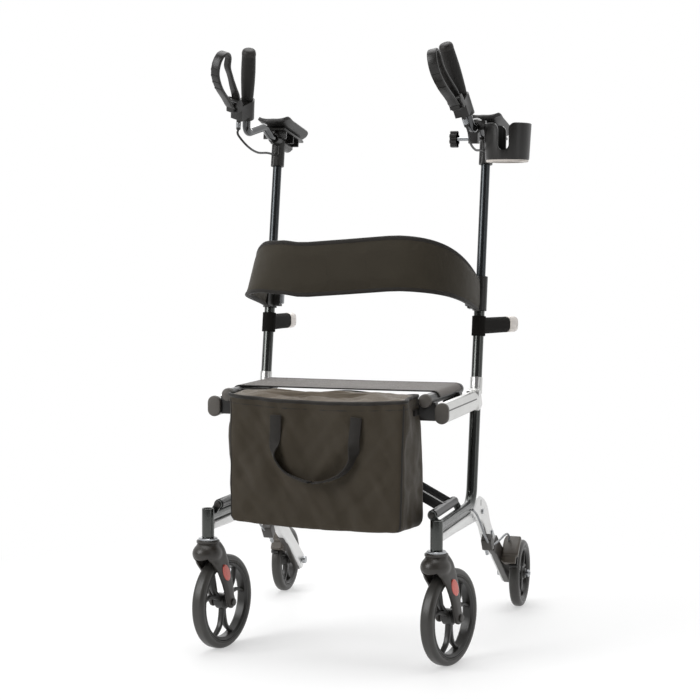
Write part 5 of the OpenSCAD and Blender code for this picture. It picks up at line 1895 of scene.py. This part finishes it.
@dataclass(frozen=True)
class CrossFrame:
    """Crossing braces with the seat tubes, and the seat sling stretched over them."""

    seat_half: float = 216.0
    tube_r: float = 12.5
    seat_up: float = 552.0
    seat_front: float = -234.0
    seat_long: float = 206.0
    tube_front: float = -308.0
    cap_profile: Points = ((0.0, 4.0), (9.0, 3.6), (12.6, 2.2), (14.0, -0.5), (14.0, -9.0),
                           (12.8, -10.0), (0.0, -10.0))
    bar_edge: float = 0.9
    cloth: float = 2.6
    cloth_gap: float = 0.3
    sag: float = 0.6
    taut: float = 8.0
    ripple: float = 0.7
    ripple_size: Point = (120.0, 34.0)
    rows: int = 16
    hem: float = 1.5
    hem_wide: float = 9.0
    wrap: float = 84.0
    bend_half: float = 60.0

    def build(self) -> None:
        """Build and dress the cross frame and the seat."""
        for side in Side:
            tag = side.tag
            carry(f"brace_{tag}", f"cross_bars_{tag}", COATED, f"cross_{tag}", self.bar_edge)
            far = "cross_right" if side is Side.LEFT else "cross_left"
            self.cap().dress(f"seat_tube_cap_{tag}", CAPPED, far, DATUM.walker(side))
        carry("cross_pivot", "cross_bolts", ZINC, "cross_left", self.bar_edge)
        self.seat()

    def cap(self) -> Workpiece:
        """Mould the round cap on a seat tube's front end."""
        end = shift((self.seat_half, self.tube_front, self.seat_up))
        return Workpiece().lathe(self.cap_profile, end @ Matrix.Rotation(pi / 2, 4, "X"))

    def across(self) -> Outline:
        """Section of the seat cloth, from one wrapped tube to the other.

        Returns:
            Distance from the middle and height of its points.
        """
        r = self.tube_r + self.cloth / 2 + self.cloth_gap
        wrap = [(self.seat_half + x, self.seat_up + z)
                for z, x in arc(r, 0.0, radians(self.wrap), 12)]
        flat = [(self.seat_half * share, self.seat_up + r - self.sag * (1 - share ** 2))
                for share in (k / 12 for k in range(12))]
        half = flat + wrap
        return [(-x, z) for x, z in reversed(half[1:])] + half

    def seat(self) -> None:
        """Stretch the seat cloth over both seat tubes, bound along its front and rear edges."""
        line = [Vector((x, self.seat_front, z)) for x, z in self.across()]
        piece = Workpiece()
        _, edges = piece.wire(line)
        for _ in range(self.rows):
            fresh, edges = piece.grow(edges)
            bmesh.ops.translate(piece.bm, vec=(0, self.seat_long / self.rows, 0), verts=list(fresh))
        piece.clean()
        wide, deep = self.ripple_size
        for vert in piece.bm.verts:
            if abs(vert.co.x) < self.seat_half - self.taut:
                spot = Vector((vert.co.x / wide, vert.co.y / deep, 3.0))
                vert.co.z += self.ripple * noise.fractal(spot, 1.0, 2.0, 2)
        piece.thicken(self.cloth, 1).chart(lambda p: (p.x, p.y))
        place = DATUM.walker()
        seat = piece.dress("seat_sling", SLING, None, place, ["seat_left", "seat_right"], 60)
        hem, section = Workpiece(), slab(self.hem_wide, 2 * self.hem, self.hem - STRAIGHT, 4)
        for y in (self.seat_front, self.seat_front + self.seat_long):
            hem.sweep(section, stations([Vector((p.x, y, p.z)) for p in line], across=(0, 1, 0)))
        hems = hem.chart(lambda p: (p.x, p.z)).dress("seat_hems", BINDING, None, place, sharp=60)
        for cloth in (seat, hems):
            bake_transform(cloth)


@dataclass(frozen=True)
class BackStrap:
    """Padded band that bulges ahead between the posts. A turn runs from 0, on the left post, to pi."""

    post_in: float = 248.0
    start_back: float = 40.8
    reach: float = 181.0
    middle_up: float = 760.0
    lift: float = 71.0
    tall: float = 118.0
    end_share: float = 0.6
    thick: float = 11.0
    corner: float = 5.0
    voxel: float = 4.0
    pressure: float = 4.0
    swell: float = 4.0
    sewn: float = 4.0
    sewn_over: float = 24.0
    fill: float = 0.7
    piping_over: float = 1.6
    piping_wide: float = 11.0
    piping_round: float = 4.4
    rivet_step: int = 10
    rivet_rises: Point = (-6.0, 9.0)
    rivet: Points = ((0.0, -3.0), (3.2, -3.0), (3.2, 1.0), (2.5, 1.9), (0.0, 2.2))
    powers: Sequence[float] = (0.36, 0.8, 0.9)
    wave: Points = ((-248, 2), (-205, 1), (-160, -7), (-108, -14), (-40, -12.5), (28, -4), (118, 1.5),
                    (207, 0), (248, 0))
    flare_from: float = 1.75
    flare_low: float = 25.0
    flare_top: float = -3.0
    steps: int = 80
    fold_keep: float = 0.29

    def droop(self, x: float) -> float:
        """Rise or fall of the band's waves at a distance from the middle.

        Args:
            x: The distance.

        Returns:
            The rise.
        """
        for (x0, z0), (x1, z1) in zip(self.wave, self.wave[1:]):
            if x <= x1:
                return z0 + (z1 - z0) * eased(clamp((x - x0) / (x1 - x0)))
        return self.wave[-1][1]

    def middle(self, t: float) -> Vector:
        """Point of the band's middle line at a turn.

        Args:
            t: The turn, in radians.

        Returns:
            The point.
        """
        c, s = cos(t), max(sin(t), 0.0)
        x = copysign(abs(c) ** self.powers[0], c) * self.post_in
        return Vector((x, self.start_back - self.reach * s ** self.powers[1],
                       self.middle_up + self.lift * s ** self.powers[2] + self.droop(x)))

    def places(self) -> list[Matrix]:
        """Set the frames of the band's section, first axis outwards and second up its height.

        Returns:
            Frames along the band, with its height and its slack lower corner in their scale.
        """
        turns = [pi * (0.5 - 0.5 * cos(pi * k / self.steps)) for k in range(self.steps + 1)]
        line = [self.middle(t) for t in turns]
        spots = []
        for i, t in enumerate(turns):
            along = line[min(i + 1, self.steps)] - line[max(i - 1, 0)]
            along = Vector((along.x, along.y, 0)).normalized()
            out = Vector((-along.y, along.x, 0))
            high = self.end_share + (1 - self.end_share) * max(sin(t), 0.0)
            slack = max((t - self.flare_from) / (pi - self.flare_from), 0.0)
            slack = sin(pi * slack) ** 2
            up = Vector((0, 0, high)) + out * (slack * (self.flare_top - self.flare_low) / self.tall)
            place = line[i] + out * (slack * (self.flare_low + self.flare_top) / 2)
            spots.append(axes(out, up, along, place))
        return spots

    def build(self) -> None:
        """Build and dress the band with its piping and rivets."""
        spots, place = self.places(), DATUM.walker()
        run = [0.0]
        for before, after in zip(spots, spots[1:]):
            run.append(run[-1] + (after.translation - before.translation).length)

        def lay(point: Vector) -> tuple[float, float]:
            """Give a point's place along the band and up it."""
            near = min(range(len(spots)), key=lambda k: (spots[k].translation - point).length_squared)
            local = spots[near].inverted() @ point
            return run[near] + local.z, local.y

        def slack(point: Vector) -> float:
            """Give how far the padding may swell, which is nothing at the sewn edges."""
            return self.swell * clamp((self.tall / 2 - abs(lay(point)[1]) - self.sewn) / self.sewn_over)

        piece = Workpiece().sweep(slab(self.thick, self.tall, self.corner, 5), spots)
        piece.inflate(self.voxel, self.pressure, slack).chart(lay)
        band = piece.dress("back_band", KNIT, "frame_left", place, ["back_strap"], 60)
        edge = Workpiece()
        section = slab(self.thick + self.piping_over, self.piping_wide, self.piping_round, 5)
        for end in (-1, 1):
            rise = shift((0, end * (self.tall / 2 - self.sewn), 0))
            edge.sweep(section, [spot @ rise for spot in spots])
        edge.chart(lambda p: (p.x - p.y, p.z))
        edges = edge.dress("back_band_piping", BINDING, "frame_left", place, sharp=60)
        rivet = Workpiece()
        for k in (self.rivet_step, self.steps - self.rivet_step):
            for rise in self.rivet_rises:
                rivet.lathe(self.rivet, spots[k] @ shift((self.thick / 2, rise, 0)) @ ON_X, steps=20)
        rivets = rivet.dress("back_band_rivets", ZINC, "frame_left", place)
        for cloth in (band, edges, rivets):
            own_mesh(cloth)


@dataclass(frozen=True)
class Bag:
    """Cloth bag that hangs between the seat tubes, with its carrying handle."""

    half: float = 196.0
    front: float = -392.0
    rear: float = -280.0
    low: float = 288.0
    rim_front: float = 556.0
    rim_rear: float = 560.0
    rim_sag: float = 9.0
    puff: float = 7.0
    lid_wall: float = 1.6
    lid_sunk: float = 1.5
    lid_ripple: float = 0.8
    lid_size: Point = (46.0, 40.0)
    gather: float = 3.4
    gather_wave: float = 17.0
    drift: float = 2.2
    drift_size: Point = (60.0, 90.0)
    crease: float = 7.0
    crease_lean: float = 0.55
    crease_size: Point = (52.0, 140.0, 60.0)
    cross_share: float = 0.7
    cross_lean: float = 0.8
    cross_size: Point = (64.0, 170.0, 60.0)
    belly: float = 3.0
    belly_share: float = 1.15
    floor_sag: float = 5.0
    floor_tuck: float = 0.05
    tuck_share: float = 0.06
    rear_wave: float = 31.0
    rear_rise: float = 3.0
    seam_free: Point = (30.0, 20.0)
    corner: float = 11.0
    mesh: float = 7.0
    swing: float = 44.0
    spread: float = 13.0
    pinch: float = 7.0
    wall: float = 3.0
    hem_tall: float = 15.0
    hem_r: float = 1.7
    levels: int = 44
    level_power: float = 1.15
    piping: float = 2.4
    binding_over: float = 2.0
    binding_tall: float = 8.0
    loop_wide: float = 24.0
    loop_thick: float = 3.2
    loop_round: float = 1.1
    loop_off: float = 4.0
    loop_twist: float = 68.0
    twist_from: float = 474.0
    twist_over: float = 44.0
    loop: Points = ((-86, 0.0, 519), (-86, 0.0, 494), (-87, 1.0, 470), (-92, 4.0, 446),
                    (-84, 7.0, 422), (-56, 9.0, 398), (2, 10.0, 384), (54, 9.0, 399), (80, 7.0, 424),
                    (88, 4.0, 450), (88, 1.0, 472), (90, 0.0, 496), (92, 0.0, 521))
    peg: float = 199.0
    fold_keep: float = 0.10

    def outline(self) -> Outline:
        """Outline of the bag from above, with many points along its panels.

        Returns:
            Points round it.
        """
        deep = self.rear - self.front
        corners = slab(2 * self.half, deep, self.corner, 4)
        points = []
        for (x0, y0), (x1, y1) in zip(corners, corners[1:] + corners[:1]):
            count = max(round(hypot(x1 - x0, y1 - y0) / self.mesh), 1)
            points += [(x0 + (x1 - x0) * k / count, y0 + (y1 - y0) * k / count) for k in range(count)]
        return points

    def fold(self, x: float, y: float, share: float) -> float:
        """Depth of the cloth's folds at a place on the bag.

        Args:
            x: Distance from the middle.
            y: Distance from the middle of the depth.
            share: Share of the height.

        Returns:
            Distance outwards.
        """
        rise = share * (self.rim_front - self.low)
        drift = self.drift * noise.noise(Vector((x / self.drift_size[0], rise / self.drift_size[1], 1.0)))
        gather = self.gather * share ** 4 * sin(x / self.gather_wave + drift)
        wide, tall, deep = self.crease_size
        spot = Vector(((x + self.crease_lean * rise) / wide, rise / tall, y / deep))
        crease = noise.fractal(spot, 1.0, 2.0, 3)
        wide, tall, deep = self.cross_size
        spot = Vector(((x - self.cross_lean * rise) / wide, rise / tall, 4.0 + y / deep))
        crease += self.cross_share * noise.fractal(spot, 1.0, 2.0, 3)
        swell = sin(pi * min(share * self.belly_share, 1.0)) ** 2 * (1 - (x / self.half) ** 2)
        return gather + self.crease * crease + self.belly * swell

    def skin(self, place: tuple[float, float], out: Vector, share: float) -> Vector:
        """Point of the cloth.

        Args:
            place: Its place on the outline.
            out: Outward direction there.
            share: Share of the height.

        Returns:
            The point.
        """
        x, y = place
        deep = self.rear - self.front
        behind = y / deep + 0.5
        bulge = 1 - (x / self.half) ** 2
        tuck = 1.0 - self.floor_tuck * max(1 - share / self.tuck_share, 0.0) ** 2
        top = self.rim_front + (self.rim_rear - self.rim_front) * behind
        top += self.rear_rise * behind * sin(x / self.rear_wave) - self.rim_sag * (1 - behind) * bulge
        z = self.low + (top - self.low) * share - self.floor_sag * (1 - share) ** 3 * bulge
        swing = self.swing * (0.5 - x / (2 * self.half)) * (1 - behind)
        wide = self.spread * behind * (1 - share ** 3) - self.pinch * (1 - behind) * (1 - share) ** 0.7
        wide *= max(x / self.half, 0.0)
        from_side = (self.half - abs(x)) / self.seam_free[0]
        from_face = (deep / 2 - abs(y)) / self.seam_free[1]
        free = clamp(max(min(from_side, 1.0), min(from_face, 1.0)))
        point = Vector((x * tuck + wide, (self.front + self.rear) / 2 + y * tuck + swing, z))
        return point + out * self.fold(x, y, share) * free

    def ring(self, share: float) -> list[Vector]:
        """Points round the bag at a share of its height.

        Args:
            share: The share, from 0 to 1.

        Returns:
            The points.
        """
        plan = self.outline()
        count = len(plan)
        points = []
        for i, place in enumerate(plan):
            (x0, y0), (x1, y1) = plan[i - 1], plan[(i + 1) % count]
            points.append(self.skin(place, Vector((y1 - y0, x0 - x1, 0)).normalized(), share))
        return points

    def build(self) -> None:
        """Build and dress the bag, its piping and its handle."""
        place = DATUM.walker()
        rings = [self.ring((k / self.levels) ** self.level_power) for k in range(self.levels + 1)]
        shell = Workpiece().loft(rings).thicken(self.wall).chart(lambda p: (p.x + p.y, p.z))
        bag = shell.dress("bag_shell", PACK, "frame_left", place, ["bag"], 60)
        # The lid's paler cloth is painted light from the lamps above
        lid = self.lid(rings[-1]).dress("bag_lid", TOPLIT_CLOTH, "frame_left", place, sharp=60)
        trims = self.trim(rings).dress("bag_piping", BINDING, "frame_left", place, sharp=60)
        strap = self.handle().dress("bag_loop", WEBBING, "frame_left", place, ["bag_handle"])
        for cloth in (bag, lid, trims, strap):
            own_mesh(cloth)

    def lid(self, rim: Sequence[Vector]) -> Workpiece:
        """Lay the loose top panel inside the rim, puffed up a little and wrinkled.

        Args:
            rim: Points round the rim.

        Returns:
            The panel.
        """
        middle = sum(rim, Vector()) / len(rim)
        wide, deep = self.lid_size
        rings = []
        for share in (k / 12 for k in range(1, 13)):
            ring = []
            for point in rim:
                spot = Vector((middle.x + (point.x - middle.x) * (0.55 + 0.45 * share),
                               middle.y + (point.y - middle.y) * share, point.z))
                puff = self.puff * cos(share * pi / 2) ** 0.7
                wave = noise.fractal(Vector((spot.x / wide, spot.y / deep, 7.0)), 1.0, 2.0, 3)
                rise = puff - self.lid_sunk + self.puff * self.lid_ripple * wave * (1 - share ** 4)
                ring.append(spot + Vector((0, 0, rise)))
            rings.append(ring)
        return Workpiece().loft(rings).thicken(self.lid_wall).chart(lambda p: (p.x, p.y))

    def trim(self, rings: Sequence[Sequence[Vector]]) -> Workpiece:
        """Bind the rim, and pipe the corner seams and the hem.

        Args:
            rings: Points round the bag, from its floor to its rim.

        Returns:
            The trims.
        """
        binding = slab(2 * self.piping + self.binding_over, self.binding_tall, self.piping, 3)
        piece = Workpiece().sweep(binding, stations(rings[-1], True), True)
        plan = self.outline()
        half_deep = (self.rear - self.front) / 2
        for x, y in ((self.half, -half_deep), (self.half, half_deep), (-self.half, -half_deep)):
            k = min(range(len(plan)), key=lambda i: hypot(plan[i][0] - x, plan[i][1] - y))
            piece.tube([ring[k] for ring in rings[1::2]], self.piping, 10)
        hem = self.ring(1 - self.hem_tall / (self.rim_front - self.low))
        piece.sweep(disc(self.hem_r, 8), stations(hem, True), True)
        return piece.chart(lambda p: (p.x + p.y + p.z, p.z))

    def hang(self, x: float, off: float, z: float) -> Vector:
        """Point of the handle at a distance off the bag's front panel.

        Args:
            x: Distance from the middle.
            off: Distance off the panel.
            z: Height.

        Returns:
            The point.
        """
        share = (z - self.low) / (self.rim_front - self.low)
        panel = self.skin((x, (self.front - self.rear) / 2), Vector((0, -1, 0)), share)
        return Vector((x, panel.y - self.wall / 2 - self.loop_off - off, z))

    def handle(self) -> Workpiece:
        """Bend the carrying handle: webbing sewn flat on the front, twisted on edge where it hangs.

        Returns:
            The handle.
        """
        line = spline([self.hang(x, off, z) for x, off, z in self.loop], 6)
        spots = []
        for i, point in enumerate(line):
            along = (line[min(i + 1, len(line) - 1)] - line[max(i - 1, 0)]).normalized()
            twist = eased(clamp((self.twist_from - point.z) / self.twist_over)) * radians(self.loop_twist)
            flat = Vector((cos(twist), copysign(sin(twist), point.x), 0))
            flat = (flat - along * flat.dot(along)).normalized()
            spots.append(axes(flat, along.cross(flat), along, point))
        section = slab(self.loop_wide, self.loop_thick, self.loop_round, 3)
        return Workpiece().sweep(section, spots).chart(lambda p: (p.z, p.x))


def main() -> None:
    """Build the studio and every sub-assembly."""
    logging.basicConfig(level=logging.INFO, format="%(name)s: %(message)s")
    for part in (Studio(), Casters(), RearWheels(), SideFrames(), ArmRests(), HandleSet(), CupHolder(),
                 CrossFrame(), BackStrap(), Bag()):
        part.build()


if __name__ == "__main__":
    main()
